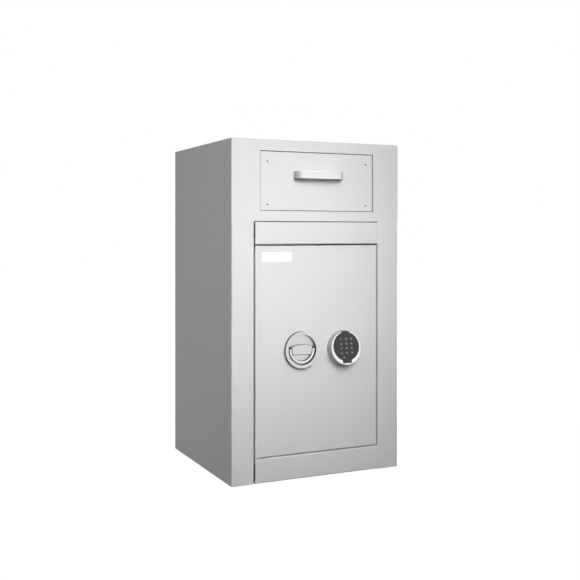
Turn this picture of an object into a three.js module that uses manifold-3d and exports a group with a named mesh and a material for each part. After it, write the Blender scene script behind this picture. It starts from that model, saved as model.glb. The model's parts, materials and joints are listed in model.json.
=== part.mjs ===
// Free-standing drop safe: a deposit drawer with a tilting floor above a hinged, bolted door.
// Millimetres. +Z is up, the front faces -Y and +X is on the right of someone facing the front.
// The origin is the centre of the footprint, on the plane that the cabinet stands on.

import * as THREE from 'three';
import { mergeVertices } from 'three/addons/utils/BufferGeometryUtils.js';
import Module from 'manifold-3d';

const wasm = await Module();
wasm.setup();

// Cabinet shell
const cabinetWidth = 444;
const cabinetDepth = 416;
const cabinetHeight = 800;
const shellSheet = 3;
const bendInside = 1;
const upperPlateHeight = 190.7;
const headerSeam = 2;
const headerHeight = 52.8;
const sillHeight = 57.5;
const leftStileWidth = 56.3;
const rightStileWidth = 58.1;
const jambDepth = 28;
const wallThickness = 40;
const linerSheet = 1.5;

// Running and assembly clearances
const fitClearance = 0.3;
const doorGap = 3;
const drawerGap = 1.5;
const railClearance = 0.4;

// Deposit drawer
const drawerFrontWidth = 299;
const drawerFrontHeight = 137.2;
const drawerSillHeight = 24.2;
const drawerRecess = 2;
const drawerFrontSheet = 3;
const drawerBoxSheet = 2;
const drawerBoxInset = 8.5;
const drawerBoxRise = 5.2;
const drawerBoxHeight = 105;
const drawerBoxDepth = 238;
const rearWallRise = 28;
const drawerTravel = 200;

// Drawer pull
const pullLength = 127;
const pullHeight = 18;
const pullReach = 19;
const pullThickness = 5;
const pullCorner = 14;
const pullRise = 15.5;

// Drawer slides and their guide plates
const runnerThickness = 6;
const runnerHeight = 10;
const runnerRise = 60;
const runnerSideGap = 1;
const railSheet = 3;
const railStandoff = 2;
const guideSheet = 3;
const guideHeight = 110;
const guideLength = 330;
const guideFoot = 18;
const stopLug = 4;
const stopLugHeight = 10;
const stopLugRise = 16;

// Tilting floor of the drawer
const floorTilt = 22;
const floorLength = 213;
const floorLead = 14;
const floorSheet = 2;
const floorSideGap = 2;
const hingeRodRadius = 3;
const knuckleWall = 2.2;
const hingeRodSetback = 20;
const hingeRodRise = 20;
const glideRadius = 4;
const glideWidth = 8;
const glideFromTail = 26;
const glidePinRadius = 1.5;
const glideBossRadius = 3;
const glideBossWidth = 10;
const rampSideGap = 1;

// Chute between the drawer and the compartment
const chuteLead = 80;
const chuteLength = 213;

// Door
const doorPlateThickness = 10;
const doorEdgeRadius = 1.5;
const pivotInset = 7;
const hingePinRadius = 2.5;
const hingePinCollarRadius = 4.5;
const hingePinLength = 12;
const panInset = 12;
const panEndInset = 17.5;
const panDepth = 40;
const panSheet = 2;
const coverSheet = 1.5;

// Bolt work
const boltRadius = 8;
const boltSpacing = 130;
const boltThrow = 20;
const boltJambGap = 6;
const boltSetback = 11;
const boltBarWidth = 16;
const boltBarThickness = 6;
const boltBarOverhang = 12;
const boltBarClearance = 3;
const drawBarHeight = 18;
const drawBarThickness = 4;
const dogEngagement = 6;
const dogThickness = 6;
const dogEndInset = 32;
const guideStudRadius = 4;
const camRestRadius = 14;
const camRimWall = 7;
const camThickness = 4;
const camPinRadius = 3;
const camGap = 1.5;

// Electronic lock behind the door
const lockWidth = 60;
const lockHeight = 80;
const lockWall = 3;
const lockBarGap = 12.4;
const lockBoltWidth = 12;
const lockBoltThickness = 8;
const lockBoltThrow = 8;
const lockBoltBody = 18;
const lockBoltGap = 1.5;

// Turning handle with its folding bail
const lockLineHeight = 305.5;
const lockLineShift = 10.65;
const handleToKeypad = 111.5;
const collarRadius = 43.5;
const collarReach = 10;
const collarChamfer = 2.5;
const bowlRadius = 36;
const dishThickness = 1.7;
const spindleRadius = 5;
const crossbarBelow = 9.5;
const crossbarAbove = 8;
const crossbarArch = 4.5;
const crossbarWall = 0.5;
const bailRimGap = 3;
const bailSideGap = 1.2;
const bailWidth = 5.8;
const bailThickness = 5;
const bailPivotRise = 5;
const bailPivotReach = 6.2;
const bailPinRadius = 1.2;

// Keypad: the insert is as large as the grid of keys, and the ring and the taper lie round it.
// Its front leans back, so that the housing reaches further out at the foot than at the top.
const keyColumns = 3;
const keyRows = 4;
const keyPitchAcross = 14.1;
const keyPitchUp = 11;
const keyGridRise = 0.6;
const keyMargin = 5.9;
const keypadRing = 1.2;
const keypadTaper = 2.7;
const keypadReach = 21;
const keypadLean = 9;
const keypadEdgeRound = 1;
const insertRise = 3.9;
const insertThickness = 5;
const insertProud = 0.3;
const upperTabHalfWidth = 9;
const lowerTabHalfWidth = 12;
const upperTabMargin = 0.8;
const lowerTabMargin = 3.8;
const keyHalfWidth = 5;
const keyHalfHeight = 3.8;
const keyCorner = 2.4;
const keyProud = 0.8;
const keyLength = 3.1;
const keyTravel = 1;
const cableHoleRadius = 8;

// Blank nameplate
const labelWidth = 78;
const labelHeight = 23;
const labelThickness = 0.5;
const labelFromHingeEdge = 15.4;
const labelFromTop = 14.1;

// Facets of round pieces
const bendSteps = 5;
const keyCornerSteps = 3;
const smallRoundSteps = 16;
const mediumRoundSteps = 28;
const largeRoundSteps = 56;
const slotSteps = 12;
const rampSteps = 14;
const weldTolerance = 1e-5;
const cutOver = 1;

// Planes of the shell
const halfWidth = cabinetWidth / 2;
const frontFace = -cabinetDepth / 2;
const backFace = cabinetDepth / 2;
const innerHalfWidth = halfWidth - shellSheet;
const innerBack = backFace - shellSheet;
const webBack = frontFace + shellSheet;
const bendOutside = shellSheet + bendInside;
const upperPlateBottom = cabinetHeight - upperPlateHeight;
const headerTop = upperPlateBottom - headerSeam;
const headerBottom = headerTop - headerHeight;
const jambLeft = -halfWidth + leftStileWidth;
const jambRight = halfWidth - rightStileWidth;
const jambBack = frontFace + jambDepth;
const deckTop = headerTop + shellSheet;

// Planes of the compartment
const roomHalfWidth = halfWidth - wallThickness;
const roomFloor = wallThickness;
const roomRoof = headerTop - wallThickness;
const roomBack = backFace - wallThickness;

// Planes of the drawer
const apertureHalfWidth = drawerFrontWidth / 2 + drawerGap;
const apertureBottom = upperPlateBottom + drawerSillHeight;
const apertureTop = apertureBottom + drawerFrontHeight + 2 * drawerGap;
const drawerFrontBottom = apertureBottom + drawerGap;
const drawerFrontFace = frontFace + drawerRecess;
const drawerFrontBack = drawerFrontFace + drawerFrontSheet;
const boxHalfWidth = drawerFrontWidth / 2 - drawerBoxInset;
const boxInnerHalfWidth = boxHalfWidth - drawerBoxSheet;
const boxBottom = drawerFrontBottom + drawerBoxRise;
const boxTop = boxBottom + drawerBoxHeight;
const boxBack = drawerFrontBack + drawerBoxDepth;
const guideFront = drawerFrontBack + fitClearance;
const runnerMiddle = boxBottom + runnerRise;
const runnerTip = boxHalfWidth + runnerThickness;
const railWeb = runnerTip + runnerSideGap;
const guideInnerFace = railWeb + railSheet;
const lugMiddle = runnerMiddle + runnerHeight / 2 + stopLugRise;

// Tilting floor, its rod and its ramps
const rodY = drawerFrontBack + hingeRodSetback;
const rodZ = boxBottom + hingeRodRise;
const tilt = THREE.MathUtils.degToRad(floorTilt);
const knuckleInner = hingeRodRadius + fitClearance;
const knuckleOuter = knuckleInner + knuckleWall;
const glideOuterFace = boxInnerHalfWidth - floorSideGap;
const glideInnerFace = glideOuterFace - glideWidth;
const floorHalfWidth = glideInnerFace - fitClearance;
const glideAlong = floorLength - glideFromTail;
const glideDown = knuckleOuter + fitClearance;
const chuteFront = rodY + chuteLead;
const chuteBack = chuteFront + chuteLength;

// Planes of the door
const doorLeft = jambLeft + doorGap;
const doorRight = jambRight - doorGap;
const doorBottom = sillHeight + doorGap;
const doorTop = headerBottom - doorGap;
const doorBack = frontFace + doorPlateThickness;
const panLeft = doorLeft + panInset;
const panRight = doorRight - panInset;
const panBottom = doorBottom + panEndInset;
const panTop = doorTop - panEndInset;
const panBack = doorBack + panDepth;
const pivotX = doorLeft + pivotInset;
const pivotY = frontFace + pivotInset;
const handleX = (doorLeft + doorRight) / 2 + lockLineShift - handleToKeypad / 2;
const keypadX = handleX + handleToKeypad;

// Planes of the bolt work
const boltY = jambBack + boltSetback;
const boltTip = jambRight - boltJambGap;
const boltBarRight = panRight - panSheet - boltThrow - boltBarClearance;
const boltBarLeft = boltBarRight - boltBarWidth;
const boltBarFront = boltY - boltBarThickness / 2;
const boltBarBack = boltY + boltBarThickness / 2;
const drawBarFront = boltBarFront - drawBarThickness;
const drawBarTop = lockLineHeight + drawBarHeight / 2;
const camBack = drawBarFront - camGap;
const camFront = camBack - camThickness;
const camRise = boltThrow / (Math.PI / 2);
const camRadius = camRestRadius + boltThrow + camPinRadius + camRimWall;
const camSlotHalf = camPinRadius + fitClearance;
const lockRight = boltBarLeft - lockBarGap;
const lockLeft = lockRight - lockWidth;
const lockBoltX = (lockLeft + lockRight) / 2;
const lockBottom = drawBarTop + lockBoltGap + lockBoltThrow;
const lockBoltBottom = drawBarTop + lockBoltGap;
const lockBoltMiddleY = (drawBarFront + boltBarFront) / 2;
const lockBoltFront = lockBoltMiddleY - lockBoltThickness / 2;
const lockBoltBack = lockBoltMiddleY + lockBoltThickness / 2;
const lockBack = lockBoltBack + lockWall;
const firstNotchX = lockBoltX - boltThrow - lockBoltWidth / 2;
const guideStudX = (handleX + camRadius + firstNotchX) / 2;

// Planes of the handle and the keypad
const dishBack = frontFace - fitClearance;
const dishMiddle = dishBack - dishThickness / 2;
const dishFront = dishBack - dishThickness;
const bailPivotY = frontFace - bailPivotReach;
const bailPivotZ = lockLineHeight + bailPivotRise;
const bailOuterRadius = bowlRadius - bailRimGap;
const bailInnerRadius = bailOuterRadius - bailWidth;
const bailLegMiddle = bailOuterRadius - bailWidth / 2;
const bailBoreRadius = bailPinRadius + fitClearance;
const crossbarHalfWidth = bailInnerRadius - bailSideGap;
const crossbarFront = bailPivotY - bailBoreRadius - crossbarWall;
const keyGridHalfWidth = (keyColumns - 1) / 2 * keyPitchAcross + keyHalfWidth;
const keyGridTop = (keyRows - 1) / 2 * keyPitchUp + keyGridRise + keyHalfHeight;
const insertRadius = Math.hypot(keyGridHalfWidth, keyGridTop) + keyMargin;
const keypadFrontRadius = insertRadius + insertRise + keypadRing;
const keypadBaseRadius = keypadFrontRadius + keypadTaper;
const upperTabReach = keypadFrontRadius - upperTabMargin;
const lowerTabReach = keypadFrontRadius - lowerTabMargin;
const keypadFront = frontFace - keypadReach;
const keypadTilt = THREE.MathUtils.degToRad(keypadLean);
const insertMiddle = lockLineHeight + insertRise;
const insertFront = keypadFront - insertProud;
const insertBack = insertFront + insertThickness;
const keyFront = insertFront - keyProud;
const keyBack = keyFront + keyLength;
const pocketFloor = keyBack + keyTravel + fitClearance;

const material = (name, color, roughness, metalness) =>
  new THREE.MeshStandardMaterial({ name, color, roughness, metalness });

const cabinetPaint = material('cabinet_paint', 0xd8d9d8, 0.6, 0);
const innerPaint = material('inner_paint', 0xcfd0cf, 0.6, 0);
const satinNickel = material('satin_nickel', 0xcdcac6, 0.3, 1);
const brightTrim = material('bright_trim', 0xe2e2e1, 0.2, 1);
const plainSteel = material('plain_steel', 0xa9adb1, 0.4, 1);
const zincSteel = material('zinc_steel', 0xb9bcb8, 0.45, 1);
const blackPlastic = material('black_plastic', 0x2c2c2e, 0.5, 0);
const keyPlastic = material('key_plastic', 0x3a3a3c, 0.55, 0);
const nylon = material('nylon', 0xe6e2d6, 0.5, 0);
const boardFilling = material('board_filling', 0x9a958c, 0.9, 0);
const blankPlate = material('blank_plate', 0xf6f6f4, 0.4, 0);

// Points of an arc in the plane of an outline, angles in degrees.
function arc(centreU, centreV, radius, start, end, steps) {
  const points = [];
  for (let step = 0; step <= steps; step += 1) {
    const angle = THREE.MathUtils.degToRad(start + (end - start) * step / steps);
    points.push([centreU + radius * Math.cos(angle), centreV + radius * Math.sin(angle)]);
  }
  return points;
}

function circle(centreU, centreV, radius, steps) {
  return arc(centreU, centreV, radius, 0, 360, steps).slice(0, -1);
}

function rectangle(lowU, highU, lowV, highV) {
  return [[lowU, lowV], [highU, lowV], [highU, highV], [lowU, highV]];
}

function roundedRectangle(centreU, centreV, halfU, halfV, radius, steps) {
  const u = halfU - radius;
  const v = halfV - radius;
  return [
    ...arc(centreU + u, centreV + v, radius, 0, 90, steps),
    ...arc(centreU - u, centreV + v, radius, 90, 180, steps),
    ...arc(centreU - u, centreV - v, radius, 180, 270, steps),
    ...arc(centreU + u, centreV - v, radius, 270, 360, steps),
  ];
}

// An outline pushed along one axis. It lies in the other two axes, taken in X, Y, Z order.
function prism(axis, outline, low, high) {
  const shape = new THREE.Shape(outline.map(([u, v]) => new THREE.Vector2(u, v)));
  const geometry = new THREE.ExtrudeGeometry(shape, { depth: high - low, bevelEnabled: false });
  const place = new THREE.Matrix4();
  if (axis === 'x') place.set(0, 0, 1, low, 1, 0, 0, 0, 0, 1, 0, 0, 0, 0, 0, 1);
  if (axis === 'y') place.set(1, 0, 0, 0, 0, 0, -1, high, 0, 1, 0, 0, 0, 0, 0, 1);
  if (axis === 'z') place.makeTranslation(0, 0, low);
  return geometry.applyMatrix4(place);
}

function block(lowX, highX, lowY, highY, lowZ, highZ) {
  return prism('z', rectangle(lowX, highX, lowY, highY), lowZ, highZ);
}

// A turned piece standing out of a face of the door: the profile holds [radius, reach] pairs.
function turnedOnDoor(profile, centreX, centreZ, steps) {
  const points = profile.map(([radius, reach]) => new THREE.Vector2(radius, reach));
  const place = new THREE.Matrix4().makeTranslation(centreX, frontFace, centreZ);
  place.multiply(new THREE.Matrix4().set(1, 0, 0, 0, 0, -1, 0, 0, 0, 0, -1, 0, 0, 0, 0, 1));
  return new THREE.LatheGeometry(points, steps).applyMatrix4(place);
}

// A turned piece about an upright axis: the profile holds [radius, height] pairs.
function turnedUpright(profile, centreX, centreY, steps) {
  const points = profile.map(([radius, height]) => new THREE.Vector2(radius, height));
  const place = new THREE.Matrix4().makeTranslation(centreX, centreY, 0);
  place.multiply(new THREE.Matrix4().set(1, 0, 0, 0, 0, 0, -1, 0, 0, 1, 0, 0, 0, 0, 0, 1));
  return new THREE.LatheGeometry(points, steps).applyMatrix4(place);
}

function solidOf(geometry) {
  const bare = geometry.clone();
  bare.deleteAttribute('normal');
  bare.deleteAttribute('uv');
  const merged = mergeVertices(bare, weldTolerance);
  const vertProperties = new Float32Array(merged.attributes.position.array);
  const triVerts = new Uint32Array(merged.index.array);
  return new wasm.Manifold(new wasm.Mesh({ numProp: 3, vertProperties, triVerts }));
}

function geometryOf(solid) {
  const mesh = solid.getMesh();
  const geometry = new THREE.BufferGeometry();
  geometry.setAttribute('position', new THREE.BufferAttribute(mesh.vertProperties, 3));
  geometry.setIndex(new THREE.BufferAttribute(mesh.triVerts, 1));
  geometry.computeVertexNormals();
  return geometry;
}

function joined(...geometries) {
  return geometryOf(geometries.map(solidOf).reduce((whole, part) => whole.add(part)));
}

function cut(geometry, ...tools) {
  return geometryOf(tools.map(solidOf).reduce((whole, tool) => whole.subtract(tool), solidOf(geometry)));
}

// The two X values of a piece on one side of the middle, the lower one first.
function span(side, near, far) {
  return [side * near, side * far].sort((a, b) => a - b);
}

function addPiece(group, name, geometry, finish) {
  const mesh = new THREE.Mesh(geometry, finish);
  mesh.name = name;
  group.add(mesh);
  return mesh;
}

// Side panel in plan: flat wall, front bend and stile. The return lip runs beside the opening.
function sidePanelPlan(side, jamb, withLip) {
  const edge = side * jamb;
  const stileEnd = withLip
    ? [
      ...arc(edge + bendOutside, frontFace + bendOutside, bendOutside, 270, 180, bendSteps),
      [edge, jambBack],
      [edge + shellSheet, jambBack],
      ...arc(edge + bendOutside, frontFace + bendOutside, bendInside, 180, 270, bendSteps),
    ]
    : [[edge, frontFace], [edge, webBack]];
  const outline = [
    [halfWidth, innerBack],
    [halfWidth, frontFace + bendOutside],
    ...arc(halfWidth - bendOutside, frontFace + bendOutside, bendOutside, 0, -90, bendSteps),
    ...stileEnd,
    ...arc(halfWidth - bendOutside, frontFace + bendOutside, bendInside, -90, 0, bendSteps),
    [halfWidth - shellSheet, innerBack],
  ];
  return outline.map(([x, y]) => [side * x, y]);
}

function sidePanel(side, jamb, lipBottom, lipTop) {
  const parts = [
    prism('z', sidePanelPlan(side, jamb, true), lipBottom, lipTop),
    prism('z', sidePanelPlan(side, jamb, false), lipTop, upperPlateBottom),
  ];
  if (lipBottom > 0) parts.push(prism('z', sidePanelPlan(side, jamb, false), 0, lipBottom));
  const wall = span(side, innerHalfWidth, halfWidth);
  parts.push(block(...wall, webBack, innerBack, upperPlateBottom, cabinetHeight));
  return joined(...parts);
}

function buildShell(cabinet) {
  const leftPanel = sidePanel(-1, jambLeft, 0, headerTop);
  const rightPanel = sidePanel(1, jambRight, sillHeight, headerBottom);
  addPiece(cabinet, 'left_side_panel', leftPanel, cabinetPaint);
  addPiece(cabinet, 'right_side_panel', rightPanel, cabinetPaint);

  const back = block(-halfWidth, halfWidth, innerBack, backFace, 0, cabinetHeight);
  addPiece(cabinet, 'back_panel', back, cabinetPaint);
  const roofBottom = cabinetHeight - shellSheet;
  const roof = block(-innerHalfWidth, innerHalfWidth, webBack, innerBack, roofBottom, cabinetHeight);
  addPiece(cabinet, 'roof_panel', roof, cabinetPaint);
  const base = block(-innerHalfWidth, innerHalfWidth, jambBack, innerBack, 0, shellSheet);
  addPiece(cabinet, 'base_panel', base, cabinetPaint);

  const upperPlate = block(-halfWidth, halfWidth, frontFace, webBack, upperPlateBottom, cabinetHeight);
  const aperture = block(-apertureHalfWidth, apertureHalfWidth, frontFace - cutOver, webBack + cutOver,
    apertureBottom, apertureTop);
  addPiece(cabinet, 'upper_front_plate', cut(upperPlate, aperture), cabinetPaint);
}

// Header and sill are sheets with flanges folded back. The hinge pins pass through the flanges.
function buildHeaderAndSill(cabinet) {
  const pinHole = (low, high) =>
    prism('z', circle(pivotX, pivotY, hingePinRadius + fitClearance, smallRoundSteps), low, high);

  const headerBend = frontFace + bendOutside;
  const headerFold = headerBottom + bendOutside;
  const header = prism('x', [
    [webBack, headerTop],
    [frontFace, headerTop],
    ...arc(headerBend, headerFold, bendOutside, 180, 270, bendSteps),
    [jambBack, headerBottom],
    [jambBack, headerBottom + shellSheet],
    ...arc(headerBend, headerFold, bendInside, 270, 180, bendSteps),
  ], doorLeft, jambRight);
  const headerHole = pinHole(headerBottom - cutOver, headerBottom + shellSheet + cutOver);
  addPiece(cabinet, 'header_panel', cut(header, headerHole), cabinetPaint);

  const sillFold = sillHeight - bendOutside;
  const sill = prism('x', [
    [jambBack, 0],
    ...arc(headerBend, bendOutside, bendOutside, 270, 180, bendSteps),
    ...arc(headerBend, sillFold, bendOutside, 180, 90, bendSteps),
    [jambBack, sillHeight],
    [jambBack, sillHeight - shellSheet],
    ...arc(headerBend, sillFold, bendInside, 90, 180, bendSteps),
    ...arc(headerBend, bendOutside, bendInside, 180, 270, bendSteps),
    [jambBack, shellSheet],
  ], doorLeft, jambRight);
  const sillHole = pinHole(sillHeight - shellSheet - cutOver, sillHeight + cutOver);
  addPiece(cabinet, 'sill_panel', cut(sill, sillHole), cabinetPaint);
}

// Double wall: a sheet liner inside the shell, with board filling between them.
function buildRoom(cabinet) {
  const chuteOuterHalf = boxInnerHalfWidth + linerSheet;
  const chuteHole = (grow, low, high) => block(-boxInnerHalfWidth - grow, boxInnerHalfWidth + grow,
    chuteFront - grow, chuteBack + grow, low, high);

  const deck = prism('z', [
    [innerHalfWidth, innerBack],
    [-innerHalfWidth, innerBack],
    [-innerHalfWidth, webBack + bendInside],
    [-innerHalfWidth + bendInside, webBack],
    [innerHalfWidth - bendInside, webBack],
    [innerHalfWidth, webBack + bendInside],
  ], headerTop, deckTop);
  const deckHole = chuteHole(0, headerTop - cutOver, deckTop + cutOver);
  addPiece(cabinet, 'deck_plate', cut(deck, deckHole), innerPaint);

  const linerOuter = block(-roomHalfWidth - linerSheet, roomHalfWidth + linerSheet,
    jambBack, roomBack + linerSheet, roomFloor - linerSheet, roomRoof + linerSheet);
  const linerRoom = block(-roomHalfWidth, roomHalfWidth,
    jambBack + linerSheet, roomBack, roomFloor, roomRoof);
  const linerMouth = block(jambLeft, jambRight, jambBack - cutOver, jambBack + linerSheet + cutOver,
    sillHeight, headerBottom);
  const linerHole = chuteHole(linerSheet, roomRoof - cutOver, roomRoof + linerSheet + cutOver);
  addPiece(cabinet, 'inner_liner', cut(linerOuter, linerRoom, linerMouth, linerHole), innerPaint);

  const filling = block(-innerHalfWidth, innerHalfWidth, jambBack, innerBack, shellSheet, headerTop);
  const fillingRoom = block(-roomHalfWidth - linerSheet, roomHalfWidth + linerSheet,
    jambBack - cutOver, roomBack + linerSheet, roomFloor - linerSheet, roomRoof + linerSheet);
  const fillingHole = chuteHole(linerSheet, roomRoof, headerTop + cutOver);
  addPiece(cabinet, 'wall_filling', cut(filling, fillingRoom, fillingHole), boardFilling);

  const collarOuter = block(-chuteOuterHalf, chuteOuterHalf,
    chuteFront - linerSheet, chuteBack + linerSheet, roomRoof, headerTop);
  const collarInner = chuteHole(0, roomRoof - cutOver, headerTop + cutOver);
  addPiece(cabinet, 'chute_collar', cut(collarOuter, collarInner), innerPaint);
}

// Centre of the round glide under the floor, in the cabinet, when the drawer is out by a distance.
function glideCentre(out) {
  const angle = tilt * (1 - out / drawerTravel);
  return [
    rodY - out + glideAlong * Math.cos(angle) - glideDown * Math.sin(angle),
    rodZ - glideAlong * Math.sin(angle) - glideDown * Math.cos(angle),
  ];
}

// The ramp is the path of the glide, lowered square to the path by the glide's radius and a clearance.
function rampPoints() {
  const points = [];
  for (let step = 0; step <= rampSteps; step += 1) {
    const out = drawerTravel * step / rampSteps;
    const [y, z] = glideCentre(out);
    const [aheadY, aheadZ] = glideCentre(out + 1);
    const length = Math.hypot(aheadY - y, aheadZ - z);
    const drop = glideRadius + fitClearance;
    points.push([y - (aheadZ - z) / length * drop, z + (aheadY - y) / length * drop]);
  }
  return points;
}

function buildDrawerSupport(cabinet) {
  const guideBack = guideFront + guideLength;
  const guideOuterFace = guideInnerFace + guideSheet;
  const runnerTop = runnerMiddle + runnerHeight / 2 + railClearance;
  const runnerBottom = runnerMiddle - runnerHeight / 2 - railClearance;
  const railInner = boxHalfWidth + railStandoff;
  const lugBack = boxBack - drawerBoxSheet - stopLug - drawerTravel - fitClearance;
  const lugInner = boxHalfWidth + railStandoff;
  const rampFront = drawerFrontBack + drawerBoxSheet + fitClearance;
  const ramp = rampPoints().filter(([y]) => y > rampFront);
  const [tailY, tailZ] = ramp[0];
  const leadZ = ramp[ramp.length - 1][1];
  const rampBack = tailY + glideRadius;

  for (const [side, word] of [[-1, 'left'], [1, 'right']]) {
    const plate = block(...span(side, guideInnerFace, guideOuterFace), guideFront, guideBack,
      deckTop, deckTop + guideHeight);
    const foot = block(...span(side, guideInnerFace, guideOuterFace + guideFoot), guideFront, guideBack,
      deckTop, deckTop + guideSheet);
    const lug = block(...span(side, lugInner, guideOuterFace), lugBack - stopLug, lugBack,
      lugMiddle - stopLugHeight / 2, lugMiddle + stopLugHeight / 2);
    addPiece(cabinet, `guide_plate_${word}`, joined(plate, foot, lug), zincSteel);

    const railSection = [
      [railInner, runnerTop + railSheet],
      [railInner, runnerTop],
      [railWeb, runnerTop],
      [railWeb, runnerBottom],
      [railInner, runnerBottom],
      [railInner, runnerBottom - railSheet],
      [guideInnerFace, runnerBottom - railSheet],
      [guideInnerFace, runnerTop + railSheet],
    ].map(([x, z]) => [side * x, z]);
    addPiece(cabinet, `rail_${word}`, prism('y', railSection, guideFront, boxBack), zincSteel);

    const rampOutline = [
      [rampBack, tailZ],
      ...ramp,
      [rampFront, leadZ],
      [rampFront, deckTop],
      [chuteFront, deckTop],
      [chuteFront, roomRoof],
      [rampBack, roomRoof],
    ];
    const rampAcross = span(side, floorHalfWidth + rampSideGap, boxInnerHalfWidth - fitClearance);
    addPiece(cabinet, `ramp_${word}`, prism('x', rampOutline, ...rampAcross), zincSteel);
  }
}

// Each pin is stepped: its collar fills the gap between the door's edge and a flange of the frame.
function hingePin(doorEdge, frameEdge) {
  const up = Math.sign(frameEdge - doorEdge);
  const profile = [
    [0, doorEdge - up * hingePinLength],
    [hingePinRadius, doorEdge - up * hingePinLength],
    [hingePinRadius, doorEdge + up * fitClearance],
    [hingePinCollarRadius, doorEdge + up * fitClearance],
    [hingePinCollarRadius, frameEdge - up * fitClearance],
    [hingePinRadius, frameEdge - up * fitClearance],
    [hingePinRadius, frameEdge + up * (shellSheet + hingePinRadius)],
    [0, frameEdge + up * (shellSheet + hingePinRadius)],
  ];
  if (up < 0) profile.reverse();
  return turnedUpright(profile, pivotX, pivotY, smallRoundSteps);
}

function buildHingePins(cabinet) {
  addPiece(cabinet, 'hinge_pin_upper', hingePin(doorTop, headerBottom), plainSteel);
  addPiece(cabinet, 'hinge_pin_lower', hingePin(doorBottom, sillHeight), plainSteel);
}

function buildDrawer(drawer) {
  const frontHalf = drawerFrontWidth / 2;
  const frontPlate = block(-frontHalf, frontHalf, drawerFrontFace, drawerFrontBack,
    drawerFrontBottom, drawerFrontBottom + drawerFrontHeight);
  addPiece(drawer, 'drawer_front_plate', frontPlate, cabinetPaint);

  const boxOuter = block(-boxHalfWidth, boxHalfWidth, drawerFrontBack, boxBack, boxBottom, boxTop);
  const boxInner = block(-boxInnerHalfWidth, boxInnerHalfWidth, drawerFrontBack + drawerBoxSheet,
    boxBack - drawerBoxSheet, boxBottom - cutOver, boxTop + cutOver);
  const tailOpening = block(-boxInnerHalfWidth, boxInnerHalfWidth, boxBack - drawerBoxSheet - cutOver,
    boxBack + cutOver, boxBottom - cutOver, boxBottom + rearWallRise);
  const rodHole = prism('x', circle(rodY, rodZ, hingeRodRadius + fitClearance, smallRoundSteps),
    -boxHalfWidth - cutOver, boxHalfWidth + cutOver);
  const lugs = [-1, 1].map((side) => {
    const lugFront = boxBack - drawerBoxSheet - stopLug;
    return block(...span(side, boxInnerHalfWidth, runnerTip), lugFront, lugFront + stopLug,
      lugMiddle - stopLugHeight / 2, lugMiddle + stopLugHeight / 2);
  });
  const boxWalls = cut(boxOuter, boxInner, tailOpening, rodHole);
  addPiece(drawer, 'drawer_box', joined(boxWalls, ...lugs), zincSteel);

  const rodEnd = boxHalfWidth - fitClearance;
  const rod = prism('x', circle(rodY, rodZ, hingeRodRadius, smallRoundSteps), -rodEnd, rodEnd);
  addPiece(drawer, 'floor_hinge_rod', rod, plainSteel);

  for (const [side, word] of [[-1, 'left'], [1, 'right']]) {
    const runner = block(...span(side, boxHalfWidth, runnerTip), guideFront, boxBack - drawerBoxSheet,
      runnerMiddle - runnerHeight / 2, runnerMiddle + runnerHeight / 2);
    addPiece(drawer, `runner_${word}`, runner, plainSteel);
  }

  const pullEnd = pullLength / 2;
  const pullFront = drawerFrontFace - pullReach;
  const cornerX = pullEnd - pullCorner;
  const cornerY = pullFront + pullCorner;
  const innerCorner = pullCorner - pullThickness;
  const pullMiddle = drawerFrontBottom + drawerFrontHeight / 2 + pullRise;
  const bow = prism('z', [
    [pullEnd, drawerFrontFace],
    ...arc(cornerX, cornerY, pullCorner, 0, -90, bendSteps),
    ...arc(-cornerX, cornerY, pullCorner, -90, -180, bendSteps),
    [-pullEnd, drawerFrontFace],
    [-pullEnd + pullThickness, drawerFrontFace],
    ...arc(-cornerX, cornerY, innerCorner, -180, -90, bendSteps),
    ...arc(cornerX, cornerY, innerCorner, -90, 0, bendSteps),
    [pullEnd - pullThickness, drawerFrontFace],
  ], pullMiddle - pullHeight / 2, pullMiddle + pullHeight / 2);
  addPiece(drawer, 'drawer_pull', bow, satinNickel);
}

// The floor is built level about its rod and then turned down at the rear. Near its tail a stub pin
// on each side carries a nylon glide, which rides on a ramp beside the floor.
function buildTiltingFloor(drawer) {
  const floor = new THREE.Group();
  floor.position.set(0, rodY, rodZ);
  floor.rotation.x = -tilt;
  drawer.add(floor);

  const plate = block(-floorHalfWidth, floorHalfWidth, -floorLead, floorLength,
    -knuckleOuter, -knuckleOuter + floorSheet);
  const knuckle = prism('x', circle(0, 0, knuckleOuter, smallRoundSteps), -floorHalfWidth, floorHalfWidth);
  const bore = prism('x', circle(0, 0, knuckleInner, smallRoundSteps),
    -floorHalfWidth - cutOver, floorHalfWidth + cutOver);
  const bossTop = -knuckleOuter + floorSheet / 2;
  const bossOutline = [
    ...arc(glideAlong, -glideDown, glideBossRadius, 180, 360, smallRoundSteps),
    [glideAlong + glideBossRadius, bossTop],
    [glideAlong - glideBossRadius, bossTop],
  ];
  const pinOutline = circle(glideAlong, -glideDown, glidePinRadius, smallRoundSteps);
  const stubs = [-1, 1].flatMap((side) => [
    prism('x', bossOutline, ...span(side, floorHalfWidth - glideBossWidth, floorHalfWidth)),
    prism('x', pinOutline, ...span(side, floorHalfWidth - cutOver, glideOuterFace)),
  ]);
  addPiece(floor, 'tilting_floor', cut(joined(plate, knuckle, ...stubs), bore), zincSteel);

  const glideBore = circle(glideAlong, -glideDown, glidePinRadius + fitClearance, smallRoundSteps);
  for (const [side, word] of [[-1, 'left'], [1, 'right']]) {
    const glide = prism('x', circle(glideAlong, -glideDown, glideRadius, smallRoundSteps),
      ...span(side, glideInnerFace, glideOuterFace));
    const pinHole = prism('x', glideBore,
      ...span(side, glideInnerFace - cutOver, glideOuterFace + cutOver));
    addPiece(floor, `floor_glide_${word}`, cut(glide, pinHole), nylon);
  }
}

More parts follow.
